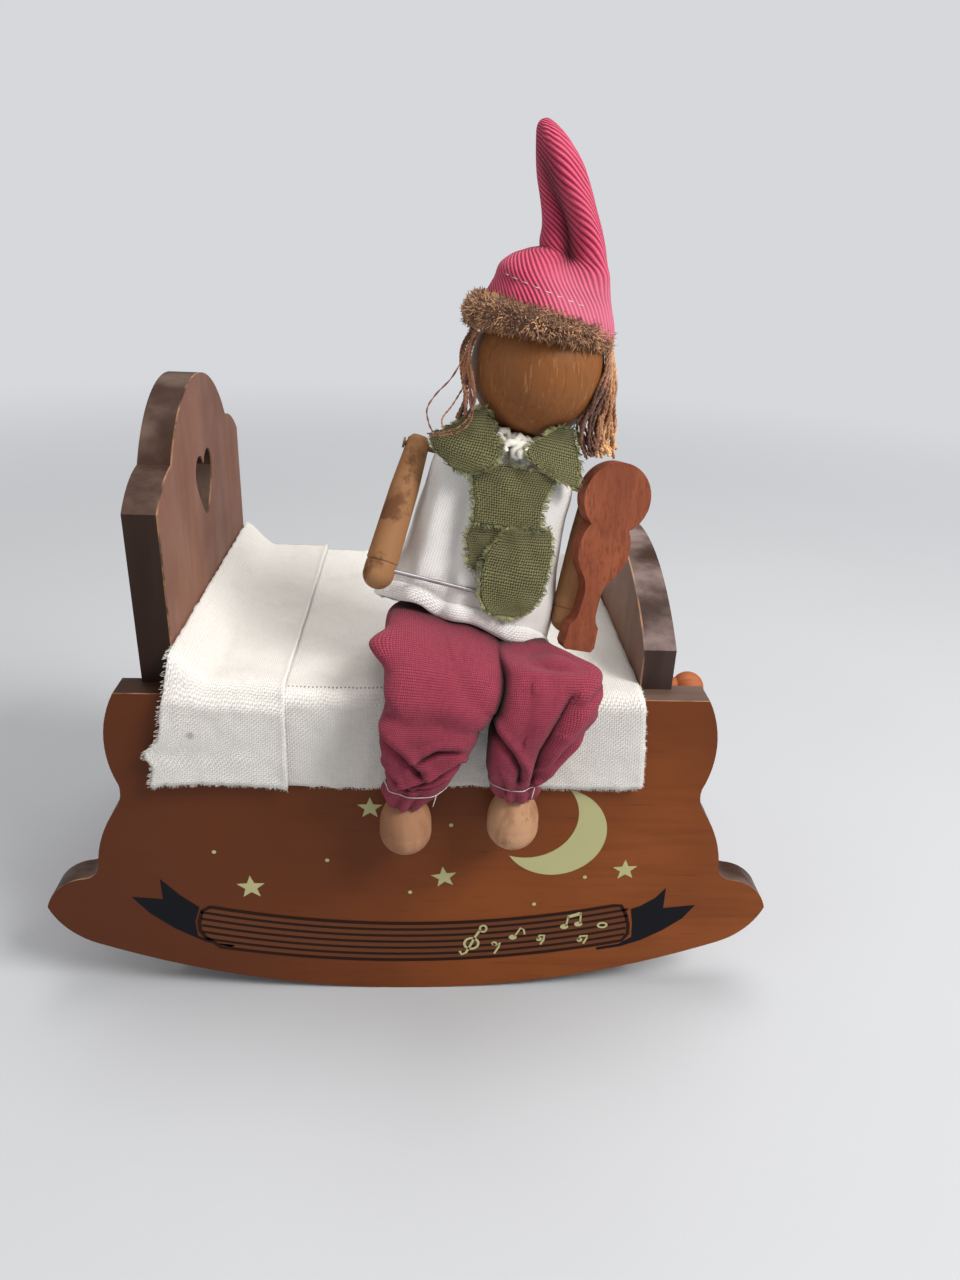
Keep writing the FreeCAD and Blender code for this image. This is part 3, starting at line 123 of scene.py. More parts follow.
soft_lamp("window", (0.72, -0.5, 0.93), 0.42, 13.6, (1.0, 0.985, 0.96))
soft_lamp("ceiling", (0.1, 0.12, 1.1), 0.6, 6.2, (1.0, 0.995, 0.98))
soft_lamp("room_side", (-0.7, -0.6, 0.5), 0.5, 0.9, (0.98, 0.99, 1.0))

# %% [markdown]
# A finish is a small network of nodes. Writing each node out by hand hides the idea,
# so one class keeps the wiring: it reads a piece's own coordinates, mixes colours by
# noise, and turns a height into relief.

# %% A helper for finishes


def tone(red, green, blue):
    """A colour of the screen, 0 to 255, as the linear colour that a shader takes."""
    parts = [channel / 255 for channel in (red, green, blue)]
    return tuple(c / 12.92 if c <= 0.04045 else ((c + 0.055) / 1.055) ** 2.4 for c in parts) + (1.0,)


class Finish:
    """A procedural material on one piece's Object coordinates or UV map."""

    def __init__(self, name, space="Object", rough=0.6, **shader):
        self.material = bpy.data.materials.new(name)
        self.material.use_nodes = True
        self.tree = self.material.node_tree
        self.shader = self.tree.nodes["Principled BSDF"]
        self.set("Roughness", rough)
        for socket, value in shader.items():
            self.set(socket.replace("_", " "), value)
        self.place = self.node("TexCoord").outputs[space]

    def put(self, socket, value):
        """Links a socket to another socket, or sets its value."""
        if isinstance(value, bpy.types.NodeSocket):
            self.tree.links.new(value, socket)
        elif value is not None:
            socket.default_value = value

    def set(self, socket, value):
        self.put(self.shader.inputs[socket], value)

    def node(self, kind, *values, **settings):
        """Adds a node and fills its first inputs in turn."""
        item = self.tree.nodes.new("ShaderNode" + kind)
        for key, value in settings.items():
            setattr(item, key, value)
        for socket, value in zip(item.inputs, values):
            self.put(socket, value)
        return item

    def maths(self, operation, *values):
        return self.node("Math", *values, operation=operation).outputs[0]

    def between(self, value, low, high):
        """0 below low, 1 above high, and smooth from one to the other."""
        item = self.node("MapRange", value, low, high, interpolation_type="SMOOTHSTEP")
        return item.outputs[0]

    def mix(self, share, first, second):
        """The first colour at share 0, the second at 1; they are the node's inputs 6 and 7."""
        item = self.node("Mix", data_type="RGBA")
        for index, value in ((0, share), (6, first), (7, second)):
            self.put(item.inputs[index], value)
        return item.outputs[2]

    def stretch(self, scale, turn=(0.0, 0.0, 0.0)):
        """The piece's own coordinates, drawn out or turned."""
        item = self.node("Mapping", self.place)
        item.inputs["Scale"].default_value = scale
        item.inputs["Rotation"].default_value = turn
        return item.outputs[0]

    def noise(self, scale, detail=3.0, place=None, rough=0.55, distortion=0.0):
        item = self.node("TexNoise", place or self.place)
        item.inputs["Scale"].default_value = scale
        item.inputs["Detail"].default_value = detail
        item.inputs["Roughness"].default_value = rough
        item.inputs["Distortion"].default_value = distortion
        return item.outputs[0]

    def axes(self, place=None):
        return self.node("SeparateXYZ", place or self.place).outputs

    def occlusion_shade(self, reach, low, high):
        """Painted shade: a share from ambient occlusion, 1 deep in a fold or under another layer, 0 where the
        surface lies open.
        """
        item = self.node("AmbientOcclusion", samples=6)
        item.inputs["Distance"].default_value = reach * MM
        return self.between(item.outputs["AO"], high, low)

    def facing(self, axis):
        """How squarely a face looks along an axis, from 0 to 1."""
        normal = self.node("NewGeometry").outputs["Normal"]
        return self.maths("ABSOLUTE", self.axes(normal)[axis])

    def relief(self, height, depth, strength=1.0):
        """Raises the surface by the height times a depth in millimetres."""
        item = self.node("Bump")
        item.inputs["Strength"].default_value = strength
        item.inputs["Distance"].default_value = depth * MM
        self.put(item.inputs["Height"], height)
        self.tree.links.new(item.outputs[0], self.shader.inputs["Normal"])

    def colour(self, value):
        self.set("Base Color", value)
        return self.material


print("tone of a mid brown", [round(c, 3) for c in tone(130, 72, 38)])

# %% [markdown]
# The floor only carries the shadow. It fades into the colour of the room far away,
# so that no horizon line crosses the picture.

# %% Floor
FLOOR_TONE = tone(214, 216, 220)
pale = Finish("pale_floor", rough=0.9)
far = pale.between(pale.node("VectorMath", pale.place, operation="LENGTH").outputs["Value"], 0.25, 1.0)
glow = pale.node("Emission", FLOOR_TONE, 1.0)
blend = pale.node("MixShader", far, pale.shader.outputs[0], glow.outputs[0])
pale.tree.links.new(blend.outputs[0], pale.tree.nodes["Material Output"].inputs["Surface"])
pale.relief(pale.noise(260.0), 0.05)
pale.colour(pale.mix(pale.noise(6.0), tone(190, 192, 196), tone(184, 186, 190)))

bm = bmesh.new()
bmesh.ops.create_circle(bm, cap_ends=True, segments=96, radius=6.0)
floor_mesh = bpy.data.meshes.new("floor")
bm.to_mesh(floor_mesh)
bm.free()
floor = bpy.data.objects.new("floor", floor_mesh)
floor_mesh.transform(Matrix.Translation((0.0, 0.0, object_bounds()[0].z - 0.05 * MM)))
floor_mesh.materials.append(pale.material)
bpy.context.collection.objects.link(floor)
print("floor at", round(floor_mesh.vertices[0].co.z, 5))

# %% [markdown]
# Beyond the floor the camera sees the world itself. The light that the world gives
# should be white, and its colour in the picture should be the floor's, so the world has
# two colours, and a light path node picks one: camera rays get the floor's tone.

# %% Backdrop
ray = world.node_tree.nodes.new("ShaderNodeLightPath")
sky = world.node_tree.nodes.new("ShaderNodeBackground")
sky.inputs["Color"].default_value = FLOOR_TONE
either = world.node_tree.nodes.new("ShaderNodeMixShader")
world.node_tree.links.new(ray.outputs["Is Camera Ray"], either.inputs[0])
world.node_tree.links.new(world.node_tree.nodes["Background"].outputs[0], either.inputs[1])
world.node_tree.links.new(sky.outputs[0], either.inputs[2])
world.node_tree.links.new(either.outputs[0], world.node_tree.nodes["World Output"].inputs["Surface"])
print("backdrop tone", [round(c, 3) for c in FLOOR_TONE])

# %% [markdown]
# The boards are thin hardwood, dipped in a red-brown stain that gathers in the grain.
# Their flat faces stay smooth, while the sawn edges drink more stain, collect dust and
# lose it again along the sharp corner. One function makes this for each board, turned
# to its own faces: the broad axis is the one that the flat faces look along.

# %% Stained boards
LIP = 0.42 * MM


def stained_board(name, broad, grain, light, dark, dusty, worn_at, left_shade_tone=None):
    """Stain on the faces that look along the broad axis, dust on the sawn ones, and bare
    wood along the corner at worn_at millimetres on that axis. The last tone, if given, is
    painted shade that darkens the faces towards the board's left end."""
    board = Finish(name, rough=0.42, Specular_IOR_Level=0.16)
    fibres = board.noise(170.0, 6.0, board.stretch(grain), 0.6)
    pores = board.noise(620.0, 2.0, board.stretch(grain))
    clouds = board.noise(14.0, 3.0)
    face = board.mix(board.between(clouds, 0.25, 0.8), dark, light)
    face = board.mix(board.maths("MULTIPLY", board.between(fibres, 0.45, 0.7), 0.55), face, dark)
    face = board.mix(board.maths("MULTIPLY", board.between(pores, 0.6, 0.8), 0.35), face, tone(40, 22, 14))
    # Painted shade: the faces darken towards the board's left end, away from the light.
    if left_shade_tone:
        face = board.mix(board.between(board.axes()[0], 0.06, -0.1), face, left_shade_tone)
    edge = board.maths("LESS_THAN", board.facing(broad), 0.6)
    streaks = board.noise(60.0, 5.0, board.stretch(grain))
    sawn = board.mix(board.between(streaks, 0.35, 0.7), tone(54, 34, 26), dusty)
    normal = board.node("NewGeometry").outputs["Normal"]
    upward = board.between(board.axes(normal)[2], 0.1, 0.75)
    sawn = board.mix(upward, board.mix(0.75, sawn, tone(38, 23, 17)), sawn)
    colour = board.mix(edge, face, sawn)
    lip = board.maths("SUBTRACT", board.axes()[broad], worn_at * MM)
    lip = board.maths("LESS_THAN", board.maths("ABSOLUTE", lip), LIP)
    rubbed = board.between(board.noise(120.0, 4.0), 0.34, 0.6)
    lip = board.maths("MULTIPLY", board.maths("MULTIPLY", lip, edge), rubbed)
    colour = board.mix(board.maths("MULTIPLY", lip, 0.75), colour, tone(170, 128, 96))
    board.set("Roughness", board.node("MapRange", board.noise(75.0, 4.0), 0.2, 0.8, 0.36, 0.6).outputs[0])
    board.relief(board.maths("ADD", fibres, board.maths("MULTIPLY", pores, 0.5)), 0.06, 0.5)
    return board.colour(colour)


def dress(finish, *names):
    """Puts one finish on CAD pieces whose shape stays."""
    for name in names:
        mesh = nodes[name].data
        mesh.materials.clear()
        mesh.materials.append(finish)


# The panel's last tone is painted shade towards its left end.
panel = stained_board("rocker_panel_stain", 1, (0.12, 1.0, 1.5), tone(140, 75, 32), tone(106, 53, 22),
                      tone(120, 98, 88), FRONT, tone(86, 42, 19))
dress(panel, "front_rocker_panel", "rear_rocker_panel")
head_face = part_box("headboard")[1].x / MM
dress(stained_board("headboard_stain", 0, (1.0, 1.4, 0.12), tone(134, 88, 66), tone(102, 63, 47),
                    tone(100, 80, 70), head_face), "headboard")
foot_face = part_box("footboard")[0].x / MM
dress(stained_board("footboard_stain", 0, (1.0, 1.4, 0.12), tone(150, 108, 88), tone(112, 78, 62),
                    tone(132, 112, 108), foot_face), "footboard")
print("boards stained; headboard's inner face at", round(head_face, 2))

# %% [markdown]
# Bed and bottom are thin birch plywood. Its faces are pale and its edges show the
# layers glued across each other, dark and light in turn.

# %% Plywood
PLY = 1.0 * MM
ply = Finish("birch_plywood", rough=0.7)
layers = ply.maths("SINE", ply.maths("MULTIPLY", ply.axes()[2], 2 * math.pi / PLY))
face = ply.mix(ply.noise(70.0, 6.0, ply.stretch((0.2, 1.0, 1.0))), tone(206, 170, 124), tone(178, 138, 94))
sides = ply.mix(ply.between(layers, -0.3, 0.3), tone(150, 108, 70), tone(214, 180, 136))
ply.relief(ply.noise(300.0, 4.0, ply.stretch((0.15, 1.0, 1.0))), 0.1, 0.5)
dress(ply.colour(ply.mix(ply.between(ply.facing(2), 0.4, 0.6), sides, face)), "bed_board", "bottom_board")
print("plywood on bed_board and bottom_board")

# %% [markdown]
# The head, the arms, the feet and the fiddle are bare turned wood, each of another
# kind. The head is brushed, with fine pale lines; the arms keep patches of bark; the
# beads of the feet are smooth and marked; the fiddle is red cedar with fine pores.

# %% Turned wood


def bare_wood(name, light, dark, marks, grain, mark_scale, mark_share, rough=0.5, fine=260.0,
              contrast=0.7, scratched=False):
    """Bare wood with its grain, and marks over it: patches, or scratches along the grain."""
    wood = Finish(name, rough=rough, Specular_IOR_Level=0.2)
    lines = wood.noise(fine, 6.0, wood.stretch(grain), 0.62)
    broad = wood.noise(34.0, 4.0, wood.stretch(grain), 0.5, 0.4)
    colour = wood.mix(wood.between(broad, 0.3, 0.7), dark, light)
    colour = wood.mix(wood.maths("MULTIPLY", wood.between(lines, 0.46, 0.66), contrast), colour, dark)
    spots = wood.noise(mark_scale, 5.0, wood.stretch(grain) if scratched else None, 0.65)
    spots = wood.between(spots, mark_share, mark_share + 0.1)
    colour = wood.mix(wood.maths("MULTIPLY", spots, 0.8), colour, marks)
    wood.set("Roughness", wood.node("MapRange", lines, 0.2, 0.8, rough - 0.1, rough + 0.2).outputs[0])
    wood.relief(wood.maths("SUBTRACT", lines, wood.maths("MULTIPLY", spots, 0.35)), 0.12, 0.55)
    return wood.colour(colour)


head_wood = bare_wood("brushed_head_wood", tone(138, 86, 46), tone(106, 64, 32), tone(164, 116, 72),
                      (1.0, 1.0, 0.12), 1300.0, 0.58, 0.42, 1100.0, 0.45, True)
dress(head_wood, "head_ball")
arm_wood = bare_wood("peeled_twig_wood", tone(172, 128, 88), tone(136, 94, 60), tone(92, 56, 34),
                     (1.0, 1.0, 0.25), 80.0, 0.5, 0.55)
dress(arm_wood, "right_arm", "left_arm")
foot_wood = bare_wood("foot_bead_wood", tone(190, 146, 112), tone(144, 100, 72), tone(84, 58, 46),
                      (1.0, 1.0, 0.3), 150.0, 0.57)
dress(foot_wood, "right_foot", "left_foot", "torso_block", "neck_dowel")
cedar = bare_wood("cedar_fiddle_wood", tone(172, 98, 64), tone(118, 60, 40), tone(114, 58, 38),
                  (1.6, 1.0, 0.3), 1500.0, 0.52, 0.55, 420.0, 0.7, True)
dress(cedar, "violin")
print("bare woods", head_wood.name, arm_wood.name, foot_wood.name, cedar.name)

# %% [markdown]
# Steel wire, brass gears and a zinc housing are metal: their colour is the reflection,
# so what matters is fine drawing marks and a roughness that changes along the piece.
# Of the parts that turn with the gears, only the winding knob is wood.

# %% Metals


def metal(name, colour, rough, grain=(1.0, 1.0, 1.0)):
    """Metal with fine marks along its grain and clouds of tarnish."""
    work = Finish(name, Metallic=1.0)
    marks = work.noise(900.0, 3.0, work.stretch(grain))
    work.set("Roughness", work.node("MapRange", marks, 0.3, 0.7, rough - 0.07, rough + 0.12).outputs[0])
    work.relief(marks, 0.02, 0.5)
    tarnish = work.between(work.noise(140.0, 4.0), 0.5, 0.8)
    darker = tuple(c * 0.62 for c in colour[:3]) + (1.0,)
    return work.colour(work.mix(tarnish, colour, darker))


steel = metal("drawn_steel", tone(196, 196, 200), 0.3, (0.1, 1.0, 1.0))
brass = metal("cut_brass", tone(214, 176, 104), 0.28)
zinc = metal("cast_zinc", tone(150, 152, 156), 0.48)
dress(metal("old_wire", tone(112, 90, 72), 0.55), "shoulder_wire")
dress(metal("bow_wire", tone(170, 168, 170), 0.4, (0.1, 1.0, 1.0)), "bow")
dress(steel, "winding_arbor", "mainspring", "tone_comb", "comb_screws",
      "movement_screws", "bottom_board_screws")
dress(brass, "crown_wheel", "pinned_drum", "governor_wheel", "governor_fan")
dress(zinc, "movement_bedplate", "spring_barrel")
knob_wood = bare_wood("knob_wood", tone(168, 96, 58), tone(134, 70, 40), tone(98, 50, 30),
                      (0.3, 1.0, 1.0), 90.0, 0.6)
dress(knob_wood, "winding_knob")
print("metals", steel.name, brass.name, zinc.name)

# %% [markdown]
# Every woven piece reads a UV map that is measured in millimetres, so that a thread is
# as wide on the trousers as on the cuff of the smock. A plain weave is two rows of
# waves: the warp shows where both waves agree, the weft where they differ.

# %% Cloth finishes
THREAD_PITCH = {"flannel": 0.55, "smock": 0.45, "linen": 0.54, "trousers": 0.36}


def weave(cloth, pitch, ribs=1.0):
    """The height of crossing threads, pitch millimetres apart."""
    across, up = cloth.axes()[0], cloth.axes()[1]
    warp = cloth.maths("SINE", cloth.maths("MULTIPLY", across, math.pi / pitch))
    weft = cloth.maths("SINE", cloth.maths("MULTIPLY", up, math.pi / (pitch * ribs)))
    over = cloth.maths("GREATER_THAN", cloth.maths("MULTIPLY", warp, weft), 0.0)
    warp_height = cloth.maths("MULTIPLY", cloth.maths("ABSOLUTE", warp), over)
    weft_height = cloth.maths("MULTIPLY", cloth.maths("ABSOLUTE", weft), cloth.maths("SUBTRACT", 1.0, over))
    return cloth.maths("ADD", warp_height, weft_height)


def cloth_finish(name, light, dark, pitch, depth, soil=None, ribs=1.0, fuzz=0.3, sheen=0.06, slub=0.4,
                 gaps=0.1):
    """Woven cloth: slub thickens some threads, fuzz is its nap, gaps darken between threads,
    and soil is a colour that it has taken in patches."""
    cloth = Finish(name, "UV", rough=0.92, Sheen_Weight=sheen, Sheen_Roughness=0.6, Specular_IOR_Level=0.12)
    threads = weave(cloth, pitch, ribs)
    slubs = cloth.noise(1.1 / pitch, 3.0, cloth.stretch((1.0, 0.12, 1.0)))
    slubs = cloth.maths("ADD", slubs, cloth.noise(1.1 / pitch, 3.0, cloth.stretch((0.12, 1.0, 1.0))))
    nap = cloth.noise(3.4, 5.0)
    colour = cloth.mix(cloth.between(threads, gaps, 0.85), dark, light)
    colour = cloth.mix(cloth.maths("MULTIPLY", cloth.between(slubs, 0.9, 1.25), slub), colour, dark)
    if soil:
        patch = cloth.between(cloth.noise(0.06, 5.0), 0.52, 0.78)
        colour = cloth.mix(cloth.maths("MULTIPLY", patch, 0.5), colour, soil)
    height = cloth.maths("ADD", threads, cloth.maths("MULTIPLY", nap, fuzz * 2))
    cloth.relief(cloth.maths("ADD", height, cloth.maths("MULTIPLY", slubs, 0.4)), depth, 0.8)
    cloth.colour(colour)
    return cloth


def wear_and_shade_colour(cloth, share, colour):
    """Mixes another colour over a finished cloth, by a share from 0 to 1: marks of wear on the flannel,
    painted shade on the trousers.
    """
    base = cloth.shader.inputs["Base Color"].links[0].from_socket
    return cloth.colour(cloth.mix(share, base, colour))


print("millimetres from thread to thread", THREAD_PITCH)

# %% [markdown]
# The blanket is napped flannel, so its weave hardly shows. It has two marks of use: a row
# of small holes where threads were drawn out, and one old spot. They could be cut and
# painted, but they are so small that a finish does it. Each layer has its own mark.

# %% Flannel


def cream_flannel(name, mark):
    """Napped flannel; mark(cloth) says where it is pierced or stained, from 0 to 1."""
    cloth = cloth_finish(name, tone(238, 236, 232), tone(224, 216, 206), THREAD_PITCH["flannel"], 0.2,
                         tone(218, 204, 190), fuzz=1.2, sheen=0.2)
    return wear_and_shade_colour(cloth, mark(cloth), tone(128, 112, 98))


def drawn_threads(cloth):
    """A row of small holes where threads were pulled out, along the bed's front edge."""
    across, along = cloth.axes()[0], cloth.axes()[1]
    row = cloth.between(cloth.maths("ABSOLUTE", cloth.maths("SUBTRACT", along, 96.3)), 0.34, 0.16)
    holes = cloth.between(cloth.maths("SINE", cloth.maths("MULTIPLY", across, 2 * math.pi / 0.95)), 0.1, 0.5)
    span = cloth.between(cloth.maths("ABSOLUTE", cloth.maths("SUBTRACT", across, 38.0)), 14.5, 13.0)
    return cloth.maths("MULTIPLY", cloth.maths("MULTIPLY", row, holes), span)


def small_stain(cloth):
    """One old spot on the turned back part."""
    reach = cloth.node("VectorMath", cloth.place, (7.5, 111.0, 0.0), operation="DISTANCE").outputs["Value"]
    spot = cloth.between(cloth.maths("ADD", reach, cloth.noise(0.9, 3.0)), 1.9, 0.9)
    return cloth.maths("MULTIPLY", spot, 0.5)


pierced_flannel = cream_flannel("cream_flannel_with_drawn_threads", drawn_threads)
flannel = cream_flannel("cream_flannel_with_a_spot", small_stain)
print("flannels", pierced_flannel.name, flannel.name)

# %% [markdown]
# The smock is fine ribbed cotton, the waistcoat coarse linen with dark gaps between its
# threads. The trousers are a close cotton with painted shade: it is darker wherever it lies
# in a fold or under the smock. An ambient occlusion node finds those places by itself.

# %% Cotton and linen
smock_cotton = cloth_finish("ribbed_cream_cotton", tone(254, 252, 250), tone(226, 220, 214),
                            THREAD_PITCH["smock"], 0.16, tone(240, 234, 224), ribs=0.7, slub=0.2).material
linen = cloth_finish("green_linen", tone(134, 130, 90), tone(20, 20, 11), THREAD_PITCH["linen"], 0.3,
                     tone(104, 102, 68), slub=0.15, gaps=0.32).material
trouser_cotton = cloth_finish("burgundy_cotton", tone(162, 64, 84), tone(84, 20, 34),
                              THREAD_PITCH["trousers"], 0.1, tone(140, 48, 66),
                              sheen=0.08, slub=0.25, gaps=0.2)
# Painted shade: ambient occlusion darkens the cotton in its folds and under the smock's hem.
burgundy = wear_and_shade_colour(trouser_cotton, trouser_cotton.occlusion_shade(13.0, 0.35, 0.88), tone(60, 13, 24))
print("cloths", smock_cotton.name, linen.name, burgundy.name)

# %% [markdown]
# Twill has ribs that run slantwise. On the cap they also turn as it narrows, because the
# cloth was cut as a cone. A wave along a slanting distance draws them. The brim is faded
# by use, and shade is painted into the inner side of the bend and into the deep folds.

# %% Twill
RIB_SPACING = 0.98
BEND_HEIGHT = 28.0
twill = Finish("raspberry_twill", "UV", rough=0.85, Sheen_Weight=0.12, Sheen_Roughness=0.5,
               Specular_IOR_Level=0.15)
around, high = twill.axes()[0], twill.axes()[1]
spread = twill.maths("MULTIPLY", around, twill.maths("SUBTRACT", 0.89, twill.maths("MULTIPLY", high, 0.009)))
climb = twill.maths("MULTIPLY", high, twill.maths("ADD", 0.45, twill.maths("MULTIPLY", high, 0.005)))
slant = twill.maths("SUBTRACT", spread, climb)
ridge = twill.maths("SINE", twill.maths("MULTIPLY", slant, 2 * math.pi / RIB_SPACING))
tufts = twill.noise(1.5, 4.0)
twill.relief(twill.maths("ADD", ridge, twill.maths("MULTIPLY", tufts, 0.7)), 0.2, 0.8)
red = twill.mix(twill.between(ridge, -1.0, 0.3), tone(140, 24, 50), tone(212, 82, 114))
patches = twill.between(twill.noise(0.12, 3.0), 0.4, 0.7)
red = twill.mix(twill.maths("MULTIPLY", patches, 0.35), red, tone(208, 86, 114))
bend_line = twill.maths("SUBTRACT", twill.maths("MULTIPLY", high, 0.17), 1.6)
from_bend = twill.maths("SUBTRACT", around, bend_line)
faded = twill.maths("MULTIPLY", twill.between(high, 22.0, 6.0), twill.between(from_bend, 9.0, -3.0))
red = twill.mix(twill.maths("MULTIPLY", faded, 0.5), red, tone(216, 124, 148))
# Painted shade on the inner side of the bend, where the slumped cloth folds in.
near_bend = twill.between(twill.maths("ABSOLUTE", from_bend), 4.6, 1.0)
off_height = twill.maths("ABSOLUTE", twill.maths("SUBTRACT", high, BEND_HEIGHT))
painted_bend_shade = twill.maths("MULTIPLY", near_bend, twill.between(off_height, 15.0, 6.0))
red = twill.mix(twill.maths("MULTIPLY", painted_bend_shade, 0.75), red, tone(82, 16, 30))
# Painted shade: ambient occlusion darkens the twill deep in its folds and where other surfaces lie close.
deep = twill.maths("MULTIPLY", twill.occlusion_shade(6.0, 0.2, 0.8), 0.7)
raspberry = twill.colour(twill.mix(deep, red, tone(66, 12, 26)))
print("twill", raspberry.name, "with ribs", RIB_SPACING, "mm apart")

# %% [markdown]
# Yarn, thread and plush are not woven, so their finish is twisted: fine lines that run
# slantwise round each strand, lighter where a fibre lies on top.

# %% Yarn finishes


def yarn_finish(name, light, dark, twist=(1.0, 1.0, 1.0), scale=700.0, sheen=0.1, rough=0.75, patch=90.0):
    """Twisted fibre: scale sets how fine its lines are, patch how wide its clouds of colour."""
    yarn = Finish(name, rough=rough, Sheen_Weight=sheen, Sheen_Roughness=0.5)
    plies = yarn.noise(scale, 4.0, yarn.stretch(twist, (0.5, 0.3, 0.0)))
    yarn.relief(plies, 0.15, 0.7)
    patchy = yarn.mix(yarn.between(yarn.noise(patch, 3.0), 0.35, 0.65), dark, light)
    return yarn.colour(yarn.mix(yarn.between(plies, 0.45, 0.7), patchy, dark))


HAIR_TWIST = (1.0, 1.0, 0.4)
golden = yarn_finish("golden_hair_yarn", tone(248, 196, 138), tone(154, 100, 62), HAIR_TWIST,
                     900.0, 0.15, 0.4)
russet = yarn_finish("russet_hair_yarn", tone(182, 122, 86), tone(90, 52, 36), HAIR_TWIST,
                     900.0, 0.1, 0.45)
plush = yarn_finish("brown_plush", tone(216, 166, 120), tone(122, 78, 50), scale=900.0, sheen=0.3,
                    patch=300.0)
plush_backing = yarn_finish("brown_plush_backing", tone(112, 74, 50), tone(66, 42, 28))
white_yarn = yarn_finish("white_yarn", tone(248, 245, 236), tone(222, 216, 204))
thread = yarn_finish("sewing_thread", tone(226, 214, 208), tone(190, 172, 166), scale=1500.0)
print("yarns", golden.name, plush.name, white_yarn.name)

# %% [markdown]
# Soft shapes need few kinds of curve. Rows of measured values are read smoothly, which
# is how a loft works: only the rows are typed. Steps and hills add a fold or a bulge at
# one place, and an oval gives a section between round and square.

# %% Curves for soft shapes


def read_rows(rows, share):
    """The values of a table of rows, read smoothly at a share from 0 to 1."""
    spot = min(max(share, 0.0), 1.0) * (len(rows) - 1)
    index = min(int(spot), len(rows) - 2)
    t = spot - index
    near = [rows[max(index - 1, 0)], rows[index], rows[index + 1], rows[min(index + 2, len(rows) - 1)]]
    return [
        0.5 * (2 * b + (c - a) * t + (2 * a - 5 * b + 4 * c - d) * t * t + (3 * b - a - 3 * c + d) * t ** 3)
        for a, b, c, d in zip(*near)
    ]


def step(low, high, value):
    """0 below low, 1 above high, smooth between."""
    t = min(max((value - low) / (high - low), 0.0), 1.0)
    return t * t * (3 - 2 * t)


def hill(value, middle, width):
    """A smooth hill of height 1."""
    return math.exp(-((value - middle) / width) ** 2)


def oval(angle, half_width, half_depth, square=2.0):
    """The reach of a rounded box at an angle: square 2 is an ellipse, 5 is nearly a box."""
    wide, deep = abs(math.cos(angle)) / half_width, abs(math.sin(angle)) / half_depth
    return (wide ** square + deep ** square) ** (-1 / square)


print("half way between two rows", read_rows([(0.0, 1.0), (2.0, 5.0)], 0.5))

# %% [markdown]
# All cloth starts as one flat grid with a UV map, as it came off the bolt. A shaping
# function then says where each point of the grid goes. A cloth simulation could let the
# folds fall by themselves, but here each one has its known place, so code moves the
# points. The finished mesh gets its finish, its body and the CAD piece it stands for.

# %% Cloth and pieces


def cloth_grid(across, along, width, length, shape, closed=False, flat=None):
    """A grid of cloth whose points go where shape(u, v) says, width by length millimetres
    when it lies flat, or as flat(u, v) says."""
    flat = flat or (lambda u, v: (u * width, v * length))
    bm = bmesh.new()
    uv = bm.loops.layers.uv.new("cloth")
    bmesh.ops.create_grid(bm, x_segments=across, y_segments=along, size=0.5, calc_uvs=True)
    for face in bm.faces:
        for loop in face.loops:
            u, v = loop.vert.co.x + 0.5, loop.vert.co.y + 0.5
            loop[uv].uv = flat(u, v)
    for vert in bm.verts:
        vert.co = Vector(shape(vert.co.x + 0.5, vert.co.y + 0.5)) * MM
    if closed:
        bmesh.ops.remove_doubles(bm, verts=bm.verts, dist=0.002 * MM)
    bmesh.ops.recalc_face_normals(bm, faces=bm.faces)
    return bm


def new_piece(name, bm, finish, body, replaces=(), thick=0.0, offset=0.0):
    """Makes a mesh object from a bmesh, and says what it rides on and stands for."""
    mesh = bpy.data.meshes.new(name)
    bm.to_mesh(mesh)
    bm.free()
    mesh.shade_smooth()
    mesh.materials.append(finish)
    piece = bpy.data.objects.new(name, mesh)
    bpy.context.collection.objects.link(piece)
    if thick:
        wall = piece.modifiers.new("thickness", "SOLIDIFY")
        wall.thickness = thick * MM
        wall.offset = offset
    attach(piece, body)
    if replaces:
        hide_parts(*replaces)
    print(name, len(mesh.polygons), "faces")
    return piece


print("CAD nodes", len(nodes))

# %% [markdown]
# The doll leans to its left, so its pieces are measured in a frame that leans with it:
# x to the doll's left, y to the rear, z up its spine, all from its seat.

# %% The doll's frame
LEAN = math.radians(13.5)
SEAT = Vector((9.0, FRONT + 20.0, 96.0))
SIDE = Vector((math.cos(LEAN), 0.0, -math.sin(LEAN)))
SPINE = Vector((math.sin(LEAN), 0.0, math.cos(LEAN)))
BACK = Vector((0.0, 1.0, 0.0))


def doll(x, y, z):
    """A point of the doll's own frame, in millimetres of the whole box."""
    return SEAT + SIDE * x + BACK * y + SPINE * z


# %% [markdown]
# The blanket is a strip of cream flannel, laid over the bed and the front board and
# never hemmed: its cut edges are soft and frayed. At the head end it is folded back on
# itself, so there are two layers, and the upper one climbs the headboard. Each layer
# is a grid that runs from the rear, over the edge, and down the front.

# %% Blanket
BED = 92.0
DROP_REAR = FRONT + 99.0
LEFT, RIGHT, FOLD = -57.2, 54.2, -31.0
EDGE_BEND = 1.5
HALF_CLOTH = 0.75
PRESSED = 0.2


def over_the_edge(v, low, lift):
    """Depth, height and outward direction at a share of the way from rear to lower edge."""
    bend = EDGE_BEND + lift
    flat = DROP_REAR - FRONT - bend
    turn = bend * math.pi / 2
    drop = BED - bend + EDGE_BEND - low
    run = v * (flat + turn + drop)
    if run < flat:
        return DROP_REAR - run, BED + HALF_CLOTH + lift, 0.0
    if run < flat + turn:
        angle = (run - flat) / bend
        reach = bend + HALF_CLOTH
        depth = FRONT + bend - PRESSED - reach * math.sin(angle)
        return depth, BED - bend + lift + reach * math.cos(angle), angle
    depth = FRONT - HALF_CLOTH - 2 * PRESSED - lift
    return depth, BED - bend + lift - (run - flat - turn), math.pi / 2


def puff(x, y, amount, size=9.0, seed=0.0):
    """Soft unevenness of cloth, by noise over a place on it."""
    return amount * noise.noise(Vector((x / size, y / size, seed)))


